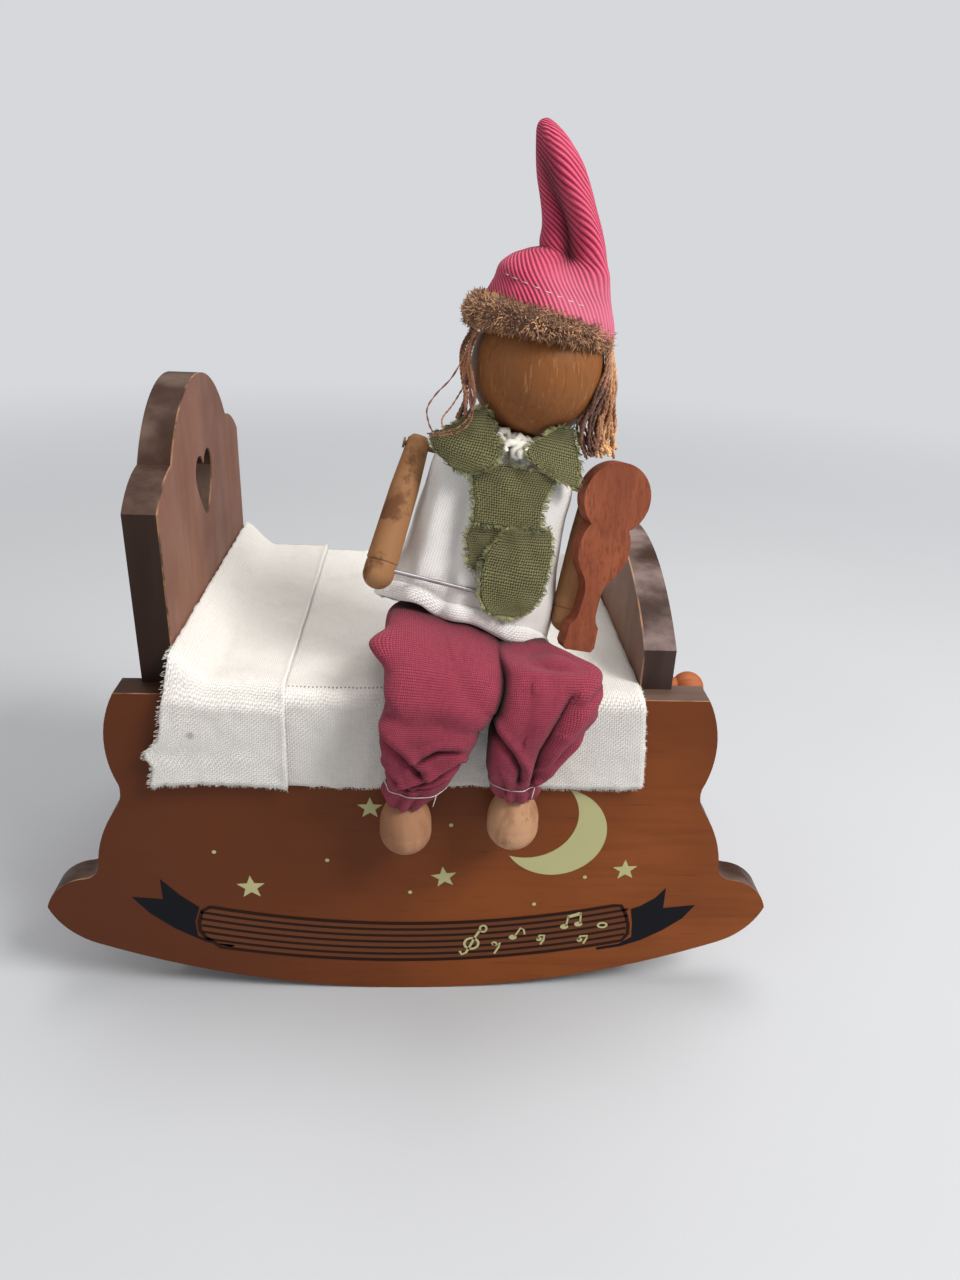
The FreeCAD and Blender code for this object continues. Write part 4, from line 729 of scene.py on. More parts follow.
def lower_layer(u, v):
    """A point of the lower layer: u runs from head end to foot end, v from rear to lower edge."""
    x = LEFT + (RIGHT - LEFT) * u
    low = 69.6 + 0.5 * math.sin(x * 0.11) + puff(x, 0.0, 0.5, 3.0, 4.0)
    y, z, angle = over_the_edge(v, low, 0.0)
    hanging = step(0.0, math.pi / 2, angle)
    x += hanging * 2.2 * u ** 6 * step(0.72, 1.0, v) + puff(y, z, 0.25, 2.5, 7.0) * (u > 0.99)
    bulge = abs(puff(x, y + z, 0.5, 8.0, 2.0)) + 0.12 * noise.noise(Vector((x / 1.7, (y + z) / 1.7, 8.0)))
    return x, y - bulge * math.sin(angle), z + bulge * math.cos(angle)


def upper_layer(u, v):
    """A point of the layer that is folded back: u runs from the headboard to the fold."""
    low = 68.6 + 0.7 * math.sin(u * 4.0) + puff(u * 30, 0.0, 0.5, 2.0, 9.0)
    y, z, angle = over_the_edge(v, low, 1.45)
    hanging = step(0.0, math.pi / 2, angle)
    near_edge = step(FRONT + 12.0, FRONT, y)
    fall = max(0.0, BED - z)
    tab = 2.6 * hill(fall, 14.5, 2.2)
    left = LEFT + 0.4 - hanging * (1.2 + 0.24 * fall + tab)
    x = left + (FOLD - left) * u
    ramp = step(0.42, 0.0, u)
    rise = 7.4 * ramp ** 1.6
    bulge = abs(puff(x, y + z, 0.55, 7.0, 12.0)) + 0.45 * hill(u, 1.0, 0.03)
    bulge += 0.12 * noise.noise(Vector((x / 1.7, (y + z) / 1.7, 3.0)))
    x -= (1 - hanging) * 0.5 * ramp
    z += rise * (1 - hanging) + hanging * 3.2 * ramp * step(10.0, 0.0, fall)
    x += puff(y, z, 0.35, 1.8, 3.0) * (u < 0.01)
    return x, y - bulge * math.sin(angle) - 0.5 * near_edge * ramp, z + bulge * math.cos(angle)


blanket = new_piece("blanket_lower", cloth_grid(96, 104, 111.4, 122.0, lower_layer), pierced_flannel,
                    "cradle", ("blanket",), thick=1.1)
turnback = new_piece("blanket_turnback", cloth_grid(40, 104, 30.0, 125.0, upper_layer), flannel,
                     "cradle", ("blanket",), thick=1.1)

# %% [markdown]
# Fibres, stitches, pile and yarn are all thin tubes. A tube could be extruded ring by
# ring, but a curve with a bevel is a thread already: one curve object carries hundreds
# of them, and is then made a mesh.

# %% Threads


def threads(lines, radius, rounds=0, tip=0.4):
    """One mesh of thin tubes, one through each row of points, thinner at its end."""
    curve = bpy.data.curves.new("threads", "CURVE")
    curve.dimensions = "3D"
    curve.bevel_depth = radius * MM
    curve.bevel_resolution = rounds
    curve.use_fill_caps = True
    for line in lines:
        spline = curve.splines.new("POLY")
        spline.points.add(len(line) - 1)
        for index, (dot, point) in enumerate(zip(spline.points, line)):
            dot.co = (*(Vector(point) * MM), 1.0)
            dot.radius = 1.0 if index < len(line) - 1 else tip
    holder = bpy.data.objects.new("threads", curve)
    mesh = bpy.data.meshes.new_from_object(holder)
    bpy.data.objects.remove(holder)
    bpy.data.curves.remove(curve)
    bm = bmesh.new()
    bm.from_mesh(mesh)
    bpy.data.meshes.remove(mesh)
    return bm


def add_to(bm, other):
    """Puts the faces of another bmesh into bm."""
    mesh = bpy.data.meshes.new("part")
    other.to_mesh(mesh)
    other.free()
    bm.from_mesh(mesh)
    bpy.data.meshes.remove(mesh)
    return bm


sample = threads([[(0, 0, 0), (0, 0, 5), (1, 0, 9)]], 0.1)
print("one thread has", len(sample.faces), "faces")
sample.free()

# %% [markdown]
# Fraying is what makes cut flannel look soft. The cut edges are the last points of the
# blanket's own grids, so the fringe reads them there and follows every wave. Each fibre
# starts at a random spot of the edge and sways a little.

# %% Frayed edges


def fringe(points, outward, count, length, seed):
    """Fibres that stand out along a row of points, each a little different."""
    chance = random.Random(seed)
    lines = []
    for _ in range(count):
        spot = chance.random() * (len(points) - 1)
        index = min(int(spot), len(points) - 2)
        start = points[index].lerp(points[index + 1], spot - index)
        along = (points[index + 1] - points[index]).normalized()
        away = Vector(outward).normalized()
        sway = along * chance.uniform(-0.7, 0.7) + Vector((0.0, -1.0, 0.0)) * chance.uniform(0.0, 0.35)
        reach = length * chance.uniform(0.35, 1.0)
        middle = start + (away + sway * 0.4) * reach * 0.5
        lines.append([start - away * 0.3, middle, middle + (away * 0.6 + sway) * reach * 0.5])
    return lines


front_edge = [Vector(lower_layer(i / 60, 1.0)) for i in range(17, 61)]
left_edge = [Vector(upper_layer(0.0, 0.6 + 0.4 * i / 40)) for i in range(41)]
turn_edge = [Vector(upper_layer(i / 30, 1.0)) for i in range(31)]
right_edge = [Vector(lower_layer(1.0, 0.35 + 0.65 * i / 40)) for i in range(41)]
fold_edge = [Vector(upper_layer(1.0, 0.35 + 0.65 * i / 40)) for i in range(41)]
fibres = fringe(front_edge, (0, 0, -1), 520, 1.3, 3) + fringe(turn_edge, (0, 0, -1), 180, 1.2, 4)
fibres += fringe(left_edge, (-1, 0, -0.2), 320, 1.5, 5) + fringe(right_edge, (1, 0, 0.1), 260, 0.9, 6)
fibres += fringe(fold_edge, (0.6, -0.2, 0.8), 160, 0.6, 7)
new_piece("blanket_fraying", threads(fibres, 0.06), white_yarn, "cradle")

# %% [markdown]
# The smock is a tube of thin ribbed cotton, gathered at the neck. It hangs in folds
# that grow towards its hem, with one deep pleat in front of the doll's right side. Its
# hem lies on a slanting plane, since the doll sits and leans.

# %% Smock
# Each row: height, shift to the left, half width, half depth.
SMOCK = [(54.8, -0.5, 6.8, 6.6), (51.8, -0.8, 12.6, 9.4), (47.4, -0.6, 16.2, 11.0), (40.0, -0.4, 16.9, 11.5),
         (32.0, -0.2, 17.8, 12.0), (24.0, 0.2, 18.8, 12.4), (16.0, 0.6, 20.2, 12.9), (8.0, 0.6, 20.8, 13.6),
         (-1.0, 0.6, 21.0, 14.2)]
# The heights of the neck, and of the skirt where its outline is read for the hem.
NECK, SKIRT = SMOCK[0][0], 12.0


def smock_row(z):
    """The row of the smock at a height, read between the heights of the table."""
    for index in range(len(SMOCK) - 1):
        if z >= SMOCK[index + 1][0] or index == len(SMOCK) - 2:
            share = (SMOCK[index][0] - z) / (SMOCK[index][0] - SMOCK[index + 1][0])
            return read_rows(SMOCK, (index + min(share, 1.0)) / (len(SMOCK) - 1))


def smock_point(angle, z):
    """A point of the smock: angle 0 is the doll's left, a quarter turn on is its front."""
    _, shift, half_width, half_depth = smock_row(z)
    depth = step(50.0, 12.0, z)
    degrees = math.degrees(angle) % 360
    folds = 0.022 * math.sin(angle * 7 + 0.6 + z * 0.02) + 0.012 * math.sin(angle * 13 + 2.0)
    lean = (z - 30.0) * 0.18
    pleat = hill(degrees, 144.0 + lean, 8.0) * 1.7 - hill(degrees, 127.0 + lean, 8.0) * 1.5
    pleat += hill(degrees, 44.0, 9.0) * 0.7 - hill(degrees, 58.0, 7.0) * 0.5
    flare = 2.2 * hill(degrees, 166.0, 20.0) * step(26.0, 13.0, z)
    out = pleat * step(50.0, 36.0, z) + flare
    out += 0.3 * noise.noise(Vector((math.cos(angle) * 2.4, math.sin(angle) * 2.4, z / 8.0)))
    reach = oval(angle, half_width, half_depth, 2.5) * (1.0 + folds * depth) + out
    return shift + reach * math.cos(angle), -reach * math.sin(angle), z


def hem_height(x, y):
    """The hem's height: its wavy edge lies on a plane that falls to the rear and the left."""
    wave = 0.6 * math.sin(x * 0.42 + 1.0) + 0.5 * step(-16.0, -19.0, x)
    return 12.9 - 0.12 * x - 0.4486 * (y + 13.0) + wave


def smock_shape(u, v):
    """A point of the smock's cloth, from its neck to its hem, kept above the blanket."""
    angle = 2 * math.pi * u
    x, y, _ = smock_point(angle, SKIRT)
    low = hem_height(x, y)
    x, y, z = smock_point(angle, NECK + (low - NECK) * v)
    point = doll(x, y, z)
    point.z = max(point.z, BED + 2.0)
    return point


smock = new_piece("smock", cloth_grid(180, 72, 124.0, 46.0, smock_shape, True), smock_cotton, "cradle",
                  ("tunic",), thick=0.5)

# %% [markdown]
# The hem was rolled up twice and sewn by hand, so it is a soft flat tube that puckers at
# its stitches. Folding the grid itself would need many rows, so the roll is a grid of
# its own, closed round the edge, and the stitches are short threads above it.

# %% Hem


def hem_shape(u, v):
    """The rolled hem: a flat tube along the smock's edge, pinched by its stitches."""
    angle = 2 * math.pi * u
    x, y, _ = smock_point(angle, SKIRT)
    low = hem_height(x, y)
    spin = 2 * math.pi * v
    tall = 2.2 + 0.4 * noise.noise(Vector((x / 5.0, y / 5.0, 2.0)))
    x, y, z = smock_point(angle, low + 1.6 + tall * math.cos(spin))
    pinch = 0.4 * noise.noise(Vector((x / 2.2, y / 2.2, z / 2.5)))
    away = Vector((x, y, 0.0)).normalized() * (0.4 + (1.1 + pinch) * math.sin(spin))
    point = doll(x + away.x, y + away.y, z)
    point.z = max(point.z, BED + 2.0 + 0.5 * math.sin(spin))
    return point


hem = new_piece("smock_hem", cloth_grid(220, 14, 124.0, 7.0, hem_shape, True), smock_cotton, "cradle")
stitches = []
for degrees in range(20, 165, 6):
    ends = []
    for part in (0.0, 1.4):
        x, y, _ = smock_point(math.radians(degrees + part), SKIRT)
        x, y, z = smock_point(math.radians(degrees + part), hem_height(x, y) + 4.3)
        away = Vector((x, y, 0.0)).normalized() * 0.45
        ends.append(doll(x + away.x, y + away.y, z))
    stitches.append(ends)
new_piece("smock_stitches", threads(stitches, 0.11), white_yarn, "cradle")

# %% [markdown]
# The waistcoat was cut from green linen and glued on in pieces: two collar flaps that
# stand up round the neck, a chest piece, and two tabs below it. Each piece is a patch
# between a left and a right edge, laid a little above the smock.

# %% Waistcoat


def on_smock(x, z, gap):
    """The depth of the smock's front at a height and a sideways place, plus a gap."""
    _, shift, half_width, half_depth = smock_row(z)
    share = min(abs(x - shift) / (half_width + 0.6), 0.985)
    return -(half_depth + 0.5) * (1 - share ** 2.5) ** 0.4 - gap


def linen_patch(rows, depth, curl=0.3):
    """A patch from rows of (left x, left z, right x, right z), top to bottom; depth(x, z)
    says how far in front of the doll's middle it lies."""
    def shape(u, v):
        x1, z1, x2, z2 = read_rows(rows, v)
        x = x1 + (x2 - x1) * u
        z = z1 + (z2 - z1) * u
        edge = max(hill(u, 0.0, 0.10), hill(u, 1.0, 0.10), hill(v, 0.0, 0.08), hill(v, 1.0, 0.08))
        y = depth(x, z) - curl * edge * 0.6 - 0.6 * noise.noise(Vector((x / 4.0, z / 4.0, rows[0][0])))
        ravel = 0.45 * edge * noise.noise(Vector((x / 0.8, z / 0.8, 7.0)))
        return doll(x + ravel, y, z + ravel)
    return shape


EDGES = (
    (lambda t: (t, 0.0), lambda t: (t, 0.1)),
    (lambda t: (t, 1.0), lambda t: (t, 0.9)),
    (lambda t: (0.0, t), lambda t: (0.1, t)),
    (lambda t: (1.0, t), lambda t: (0.9, t)),
)


def patch_edges(shape, steps=26):
    """The four edges of a patch as rows of points, with the way that each frays."""
    sides = []
    for edge, inner in EDGES:
        line = [Vector(shape(*edge(i / steps))) for i in range(steps + 1)]
        middle = Vector(shape(*edge(0.5))) - Vector(shape(*inner(0.5)))
        sides.append((line, middle))
    return sides


def sew_patch(name, shape, width, length, replaces, seed):
    """One piece of linen with its frayed edges, cut from a rectangle of width by length
    millimetres."""
    patch = new_piece(name, cloth_grid(30, 30, width, length, shape), linen, "cradle",
                      replaces, thick=0.5)
    lines = []
    for number, (line, away) in enumerate(patch_edges(shape)):
        span = sum((b - a).length for a, b in zip(line, line[1:]))
        lines += fringe(line, away, int(span * 10), 1.9, seed + number)
    frayed = new_piece(name + "_fraying", threads(lines, 0.08), linen_fibre, "cradle")


linen_fibre = yarn_finish("green_linen_fibre", tone(170, 168, 114), tone(92, 94, 56), patch=500.0)
SHORT_TAB = [(-5.2, 37.8, 4.4, 38.6), (-6.2, 33.6, 2.2, 35.2), (-4.8, 29.8, -1.4, 31.0),
             (-3.6, 26.4, -2.2, 26.6)]
LONG_TAB = [(2.6, 38.0, 12.0, 39.0), (0.0, 33.4, 13.9, 34.4), (-1.1, 28.6, 14.6, 28.8),
            (-0.2, 23.2, 14.6, 23.4), (1.8, 19.0, 12.6, 19.8), (4.6, 17.4, 9.8, 17.6)]
CHEST = [(-8.2, 50.8, 9.8, 52.0), (-8.4, 46.4, 8.8, 48.2), (-6.7, 42.0, 8.4, 43.6), (-5.8, 37.4, 9.6, 39.2)]
COLLAR_LINE = 47.0
sew_patch("waistcoat_short_tab", linen_patch(SHORT_TAB, lambda x, z: on_smock(x, z, 0.7)),
          10.2, 11.4, ("vest_front",), 30)
sew_patch("waistcoat_long_tab", linen_patch(LONG_TAB, lambda x, z: on_smock(x, z, 1.4), 0.8),
          14.0, 20.6, ("vest_front",), 40)
sew_patch("waistcoat_chest", linen_patch(CHEST, lambda x, z: on_smock(x, min(z, COLLAR_LINE), 1.5)),
          15.6, 13.6, ("vest_front",), 20)

# %% [markdown]
# The collar leaves the chest and stands round the neck: a flap on each side and a part
# behind. All of them tilt outward towards their lower edge, as stiff linen does.

# %% Collar


def tilted(x, z):
    """The depth of a flap: near the neck at the top, proud of the chest at the bottom."""
    reach = 14.6 - 3.4 * step(49.0, 60.0, z)
    return -reach * math.sqrt(max(0.0, 1 - (x / 21.0) ** 2))


def collar_back(u, v):
    """The part of the collar behind the neck."""
    angle = math.radians(178.0 + 184.0 * u)
    z = 58.0 - 8.0 * v - 4.0 * math.sin(math.pi * u) * v
    wide, deep = 11.4 + 6.2 * v ** 0.7, 10.8 + 1.6 * v
    wobble = 0.3 * noise.noise(Vector((u * 12.0, v * 3.0, 5.0)))
    return doll((wide + wobble) * math.cos(angle), -(deep + wobble) * math.sin(angle), z)


RIGHT_FLAP = [(-12.0, 60.4, -9.6, 61.6), (-14.6, 57.0, -7.2, 58.6), (-18.2, 53.4, -4.9, 55.0),
              (-18.8, 50.4, -5.4, 51.0), (-13.8, 47.6, -9.4, 47.8)]
LEFT_FLAP = [(6.4, 61.8, 10.0, 62.2), (4.4, 59.6, 11.6, 59.6), (1.6, 56.4, 13.6, 56.0),
             (2.6, 54.0, 14.8, 53.0), (9.0, 51.4, 14.6, 50.2)]
sew_patch("waistcoat_right_flap", linen_patch(RIGHT_FLAP, tilted), 13.0, 13.6, ("vest_shoulders",), 60)
sew_patch("waistcoat_left_flap", linen_patch(LEFT_FLAP, tilted), 12.0, 12.0, ("vest_shoulders",), 70)
sew_patch("waistcoat_back", collar_back, 46.0, 11.0, ("vest_shoulders",), 80)

# %% [markdown]
# Each trouser leg is a stuffed tube of burgundy cotton. It leaves the hip level, turns
# down over the edge of the bed, and is gathered by a thread above the foot. The rows
# give the middle of the leg, how far it droops, its half width and half depth, and how
# square its section is: taut cloth over stuffing is flat on top and sharp at its sides.

# %% Rows of the trousers
RIGHT_LEG = [(6.0, 17.0, 99.8, 0, 13.2, 8.4, 3.0), (6.4, 7.0, 100.2, 6, 14.0, 8.6, 4.2),
             (6.5, -4.0, 97.8, 45, 13.3, 8.6, 4.4), (4.4, -9.2, 92.4, 76, 11.6, 7.4, 4.2),
             (2.6, -9.8, 86.0, 86, 9.9, 6.8, 3.8), (1.1, -9.7, 79.4, 92, 7.8, 6.0, 3.4),
             (0.3, -8.7, 74.6, 96, 6.7, 4.8, 2.6), (-1.3, -7.7, 71.0, 98, 6.2, 4.4, 2.1),
             (-2.2, -7.3, 68.4, 98, 4.4, 3.7, 2.0)]
LEFT_LEG = [(22.8, 17.0, 97.6, 0, 8.0, 5.8, 3.0), (24.8, 7.6, 97.8, 6, 9.0, 6.0, 3.5),
            (30.8, -3.6, 98.8, 45, 10.6, 8.0, 4.6), (29.7, -8.8, 94.2, 74, 10.8, 7.4, 4.2),
            (27.0, -9.8, 88.0, 85, 10.0, 6.8, 3.6), (24.4, -9.7, 81.4, 91, 7.5, 6.2, 3.2),
            (23.2, -8.8, 76.6, 96, 5.7, 4.8, 2.6), (23.9, -7.9, 73.2, 98, 5.7, 4.4, 2.1),
            (24.2, -7.3, 70.8, 98, 4.4, 3.7, 2.0)]
print("rows of the legs", len(RIGHT_LEG), len(LEFT_LEG))

# %% [markdown]
# Stuffed cotton doesn't lie smooth: it drags from the knee to the gathered cuff. Each
# fold is a line on the front with a width. The cloth sinks along the line and hangs over
# it a little above, which is what gives a fold its sharp shade.

# %% Folds of the trousers
# Each fold: its points (x, z), its width, how deep it sinks, how far it hangs over.
RIGHT_FOLDS = [
    (((-8, 97.0), (-2, 94.2), (5, 94.8), (14, 92.0)), 2.0, 1.0, 0.4),
    (((-9, 91.0), (-3.6, 86.4), (1, 81.6)), 1.1, 1.5, 0.8),
    (((1.0, 85.4), (5.0, 87.6), (8.6, 87.6)), 0.9, 1.3, 0.7),
    (((-3.0, 76.0), (3.0, 79.0), (9.4, 83.8)), 0.8, 1.5, 0.9),
    (((-7.0, 81.0), (-2.0, 75.4)), 0.7, 1.1, 0.6),
    (((9.0, 104.4), (12.4, 100.0), (15.0, 97.0)), 1.8, 0.5, 0.3),
    (((-1.0, 75.6), (3.4, 76.6), (6.4, 78.8)), 0.5, 0.7, 0.4),
]
LEFT_FOLDS = [
    (((17.0, 105.4), (24.0, 105.4), (31.0, 104.9), (43.0, 104.8)), 0.6, 2.1, 0.9),
    (((35.0, 99.0), (31.6, 93.4), (29.0, 87.0), (27.8, 79.0)), 1.3, 2.0, 0.9),
    (((40.0, 92.4), (33.6, 86.8), (28.6, 79.6)), 0.9, 1.3, 0.7),
    (((17.6, 92.0), (21.4, 87.4), (24.0, 83.0), (24.2, 79.6)), 0.9, 1.6, 0.8),
    (((41.0, 100.0), (36.0, 97.4), (33.0, 93.0)), 1.0, 0.8, 0.4),
    (((20.0, 79.4), (21.4, 75.0)), 0.8, 0.8, 0.5),
    (((25.6, 100.0), (24.6, 92.0)), 1.6, 0.4, 0.3),
]


def fold_depth(x, z, fold):
    """How far the cloth moves out at (x, z) because of one fold."""
    line, width, sink, hang = fold
    near, side = 1e9, 0.0
    for (x1, z1), (x2, z2) in zip(line, line[1:]):
        dx, dz = x2 - x1, z2 - z1
        share = min(max(((x - x1) * dx + (z - z1) * dz) / (dx * dx + dz * dz), 0.0), 1.0)
        gap = math.hypot(x - x1 - dx * share, z - z1 - dz * share)
        if gap < near:
            near, side = gap, math.copysign(1.0, (z - z1) * dx - (x - x1) * dz)
    above = near * side
    return hang * hill(above, 1.5 * width, 1.2 * width) - sink * hill(above, -0.4 * width, width)


print("a fold sinks", round(fold_depth(-2, 94.2, RIGHT_FOLDS[0]), 2), "mm at its line")

# %% [markdown]
# The leg itself is one grid, rolled round the rows. A subdivided box pushed about by
# hand would give the same form, but not the same one twice. The roll at the hip follows
# the smock's hem, and a spike is a corner of stiff cloth that stands out at the knee.

# %% Legs of the trousers


def along_leg(rows, width):
    """Where a point of the leg lies on its flat cloth, measured along the leg's middle."""
    spots = [Vector(row[:3]) for row in rows]
    runs = [0.0]
    for near, far in zip(spots, spots[1:]):
        runs.append(runs[-1] + (far - near).length)

    def flat(u, v):
        place = v * (len(rows) - 1)
        index = min(int(place), len(rows) - 2)
        return u * width, runs[index] + (runs[index + 1] - runs[index]) * (place - index)
    return flat


def leg_shape(rows, folds, seed, spikes, roll=0.0):
    """The shaping function of a leg. Each spike: its angle, its share of the length, how
    far it stands out, its width and its height."""
    def shape(u, v):
        x, depth, z, droop, half_width, half_depth, square = read_rows(rows, v)
        angle = 2 * math.pi * u + math.pi * 1.5
        tilt = math.radians(droop)
        out = Vector((0.0, -math.sin(tilt), math.cos(tilt)))
        cosine, sine = math.cos(angle), math.sin(angle)
        gather = step(0.66, 0.76, v)
        swell = 0.5 * gather * math.sin(angle * 8 + seed) * (0.35 + 0.65 * step(0.72, 0.9, v))
        swell += 0.3 * noise.noise(Vector((cosine * 2.0, v * 7.0, sine * 2.0 + seed)))
        swell += 0.12 * noise.noise(Vector((cosine * 7.0, v * 24.0, sine * 7.0 + seed)))
        reach = oval(angle, half_width, half_depth, square)
        point = Vector((x, FRONT + depth, z)) + Vector((reach * cosine, 0.0, 0.0)) + out * reach * sine
        point.z -= roll * reach * cosine * step(0.42, 0.12, v)
        if sine > -0.3:
            swell += sum(fold_depth(point.x, point.z, fold) for fold in folds) * step(-0.3, 0.25, sine)
        for spike_angle, spike_v, far, wide, tall in spikes:
            turn = math.atan2(math.sin(angle - spike_angle), math.cos(angle - spike_angle))
            swell += far * hill(turn, 0.0, wide) * hill(v, spike_v, tall)
        point += Vector((swell * cosine, 0.0, 0.0)) + out * swell * sine
        if point.z < BED + 3.2 and point.y > FRONT - 2.6:
            point.y = FRONT - 2.6
        return point
    return shape


right_shape = leg_shape(RIGHT_LEG, RIGHT_FOLDS, 0.0, [
    (2.75, 0.205, 4.4, 0.15, 0.03), (3.14, 0.47, 0.8, 0.5, 0.06)], 0.26)
left_shape = leg_shape(LEFT_LEG, LEFT_FOLDS, 4.0, [
    (0.46, 0.235, 1.0, 0.2, 0.03), (0.1, 0.34, -0.9, 0.4, 0.022), (0.0, 0.40, 0.7, 0.4, 0.04)])
for side, rows, shape, width, length in (
    ("right", RIGHT_LEG, right_shape, 80.0, 66.0), ("left", LEFT_LEG, left_shape, 64.0, 62.0),
):
    tube = cloth_grid(132, 160, width, length, shape, True, along_leg(rows, width))
    new_piece(side + "_trouser", tube, burgundy, "cradle",
                          (side + "_trouser_leg",), thick=0.4, offset=1.0)

# %% [markdown]
# A white thread gathers each cuff. It follows the cloth's own shape at one height, a
# little proud of it, and ends in a loose tail.

# %% Gathering threads
# The loose tail leaves the ring at its knot, one of so many steps round the cuff.
KNOT, ROUND = 33, 90
ties = []
for shape, high, tail in ((right_shape, 0.775, (-0.8, -0.5, -3.0)), (left_shape, 0.765, (-0.6, -0.4, -3.2))):
    rough = []
    for index in range(19):
        u, v = index / 18, high + 0.008 * math.sin(index * 0.9)
        point = Vector(shape(u, v))
        middle = (Vector(shape(0.25, v)) + Vector(shape(0.75, v))) / 2
        rough.append(point + (point - middle).normalized() * 0.6)
    ring = [Vector(read_rows(rough, index / ROUND)) for index in range(ROUND + 1)]
    ties.append(ring)
    start = ring[KNOT]
    ties.append([start, start + Vector(tail) * 0.4, start + Vector(tail)])
new_piece("gathering_threads", threads(ties, 0.13, 1), thread, "cradle")

# %% [markdown]
# The cap is a cone of raspberry twill that has slumped: it narrows fast at a third of its
# height and leans over at the tip. The rows are its rings from brim to tip. A valley with
# a ridge beside it climbs round the front, where the slumped cloth folds in.

# %% Cap
# Each row: height, shift to the left, radius.
CAP = [(81.6, -0.6, 14.5), (84.4, -1.0, 13.8), (87.4, -1.4, 12.7), (90.1, -1.9, 11.9), (92.5, -1.4, 10.3),
       (94.1, -0.4, 8.7), (95.8, 0.1, 7.4), (99.0, -0.6, 6.6), (102.2, -2.0, 6.1), (105.2, -3.7, 5.8),
       (108.5, -5.7, 5.5), (112.7, -8.2, 4.6), (116.1, -10.7, 3.0), (117.7, -12.0, 1.5), (118.3, -12.4, 0.2)]
CAP_HEIGHT = 48.0


def cap_shape(u, v):
    """A point of the cap: u goes round it from its rear, v from brim to tip."""
    z, shift, radius = read_rows(CAP, v)
    angle = 2 * math.pi * u - math.pi / 2
    degrees = math.degrees(angle) % 360
    valley = 92.0 + 110.0 * (v - 0.35)
    crease = hill(v, 0.5, 0.26) * hill(degrees, valley + 4.0, 36.0)
    ridge = hill(v, 0.5, 0.26) * hill(degrees, valley - 46.0, 22.0)
    dent = 0.9 * hill(v, 0.42, 0.03) * hill(math.cos(angle), -1.0, 0.7)
    radius += 0.2 * radius * ridge - 0.6 * radius * crease - dent
    rumple = noise.noise(Vector((math.cos(angle) * 2, math.sin(angle) * 2, v * 7)))
    radius += 0.25 * rumple * step(1.0, 0.8, v)
    return doll(shift + radius * math.cos(angle), -radius * math.sin(angle), z)


def cap_cloth(u, v):
    """Where a point of the cap lies on the flat cloth, measured from the middle of its front."""
    return (u - 0.5) * 2 * math.pi * read_rows(CAP, v)[2], v * CAP_HEIGHT


cap = new_piece("cap", cloth_grid(120, 100, 88.0, CAP_HEIGHT, cap_shape, True, cap_cloth), raspberry,
                "head", ("hat",), thick=0.6, offset=1.0)

# %% [markdown]
# A few running stitches show above the brim, where the cap's edge was turned up. Each
# is a short thread laid on the cap's own shape, with a gap to the next.

# %% Stitches of the cap
seam = []
for index in range(8):
    start, high = 0.43 + 0.032 * index, 0.142 + 0.005 * index
    dash = [Vector(cap_shape(start + part, high)) for part in (0.0, 0.008, 0.016)]
    middle = Vector(cap_shape(0.25, high)).lerp(Vector(cap_shape(0.75, high)), 0.5)
    seam.append([point + (point - middle).normalized() * 0.68 for point in dash])
new_piece("cap_stitches", threads(seam, 0.11), thread, "head")

# %% [markdown]
# The trim is curly plush. A ring of the right thickness carries it, and some thousands
# of short bent fibres stand on the ring. Blender's own hair would not be exported as a
# mesh, so each fibre is a thread of two lengths.

# %% Fur trim
TRIM_SHIFT = -1.6


def tufts_of(place, count, length, seed):
    """Rows of points for short bent fibres of pile."""
    chance = random.Random(seed)
    lines = []
    for _ in range(count):
        root, away = place(chance)
        bend = Vector((chance.gauss(0, 1), chance.gauss(0, 1), chance.gauss(0, 1)))
        second = Vector((chance.gauss(0, 1), chance.gauss(0, 1), chance.gauss(0, 1)))
        reach = length * chance.uniform(0.5, 1.0)
        middle = root + away * reach * 0.5 + bend * 0.16
        lines.append([root - away * 0.3, middle, root + away * reach * 0.9 + bend * 0.3 + second * 0.3])
    return lines


def trim_middle(turn):
    """The middle of the trim's roll at a turn round the head, and its thickness: the roll
    is full at the doll's right and thin at its left."""
    full = (0.5 - 0.5 * math.cos(turn)) ** 1.5
    front = max(0.0, -math.sin(turn))
    return 13.1 + 0.6 * full, 81.0 - 1.2 * full + 1.2 * front, 2.1 + 1.7 * full


def fur_root(chance):
    """A random place on the roll, and the way that its pile stands."""
    turn = chance.uniform(0, 2 * math.pi)
    around = chance.uniform(-0.42, 0.86) * math.pi
    reach, height, thick = trim_middle(turn)
    away = Vector((math.cos(turn) * math.cos(around), math.sin(turn) * math.cos(around), math.sin(around)))
    root = Vector((TRIM_SHIFT + reach * math.cos(turn), reach * math.sin(turn), height)) + away * thick * 0.85
    return doll(*root), SIDE * away.x + BACK * away.y + SPINE * away.z


def trim_ring(u, v):
    """A point of the roll that carries the pile."""
    turn, spin = 2 * math.pi * u, 2 * math.pi * v
    reach, height, thick = trim_middle(turn)
    thick += 0.35 * noise.noise(Vector((math.cos(turn) * 9, math.sin(turn) * 9, spin)))
    reach += thick * math.cos(spin)
    x = TRIM_SHIFT + reach * math.cos(turn)
    return doll(x, reach * math.sin(turn), height + thick * math.sin(spin))


new_piece("hat_fur_backing", cloth_grid(90, 16, 84.0, 16.0, trim_ring, True), plush_backing, "head",
          ("hat_fur_band",))
new_piece("hat_fur_trim", threads(tufts_of(fur_root, 7000, 1.5, 11), 0.14, 0, 0.3), plush, "head",
          ("hat_fur_band",))

# %% [markdown]
# Round the neck lies a ruffle of white yarn. A puckered ring carries it all round, and
# curls of thick yarn stand on its front and sides, where the collar leaves it free.

# %% Neck ruffle


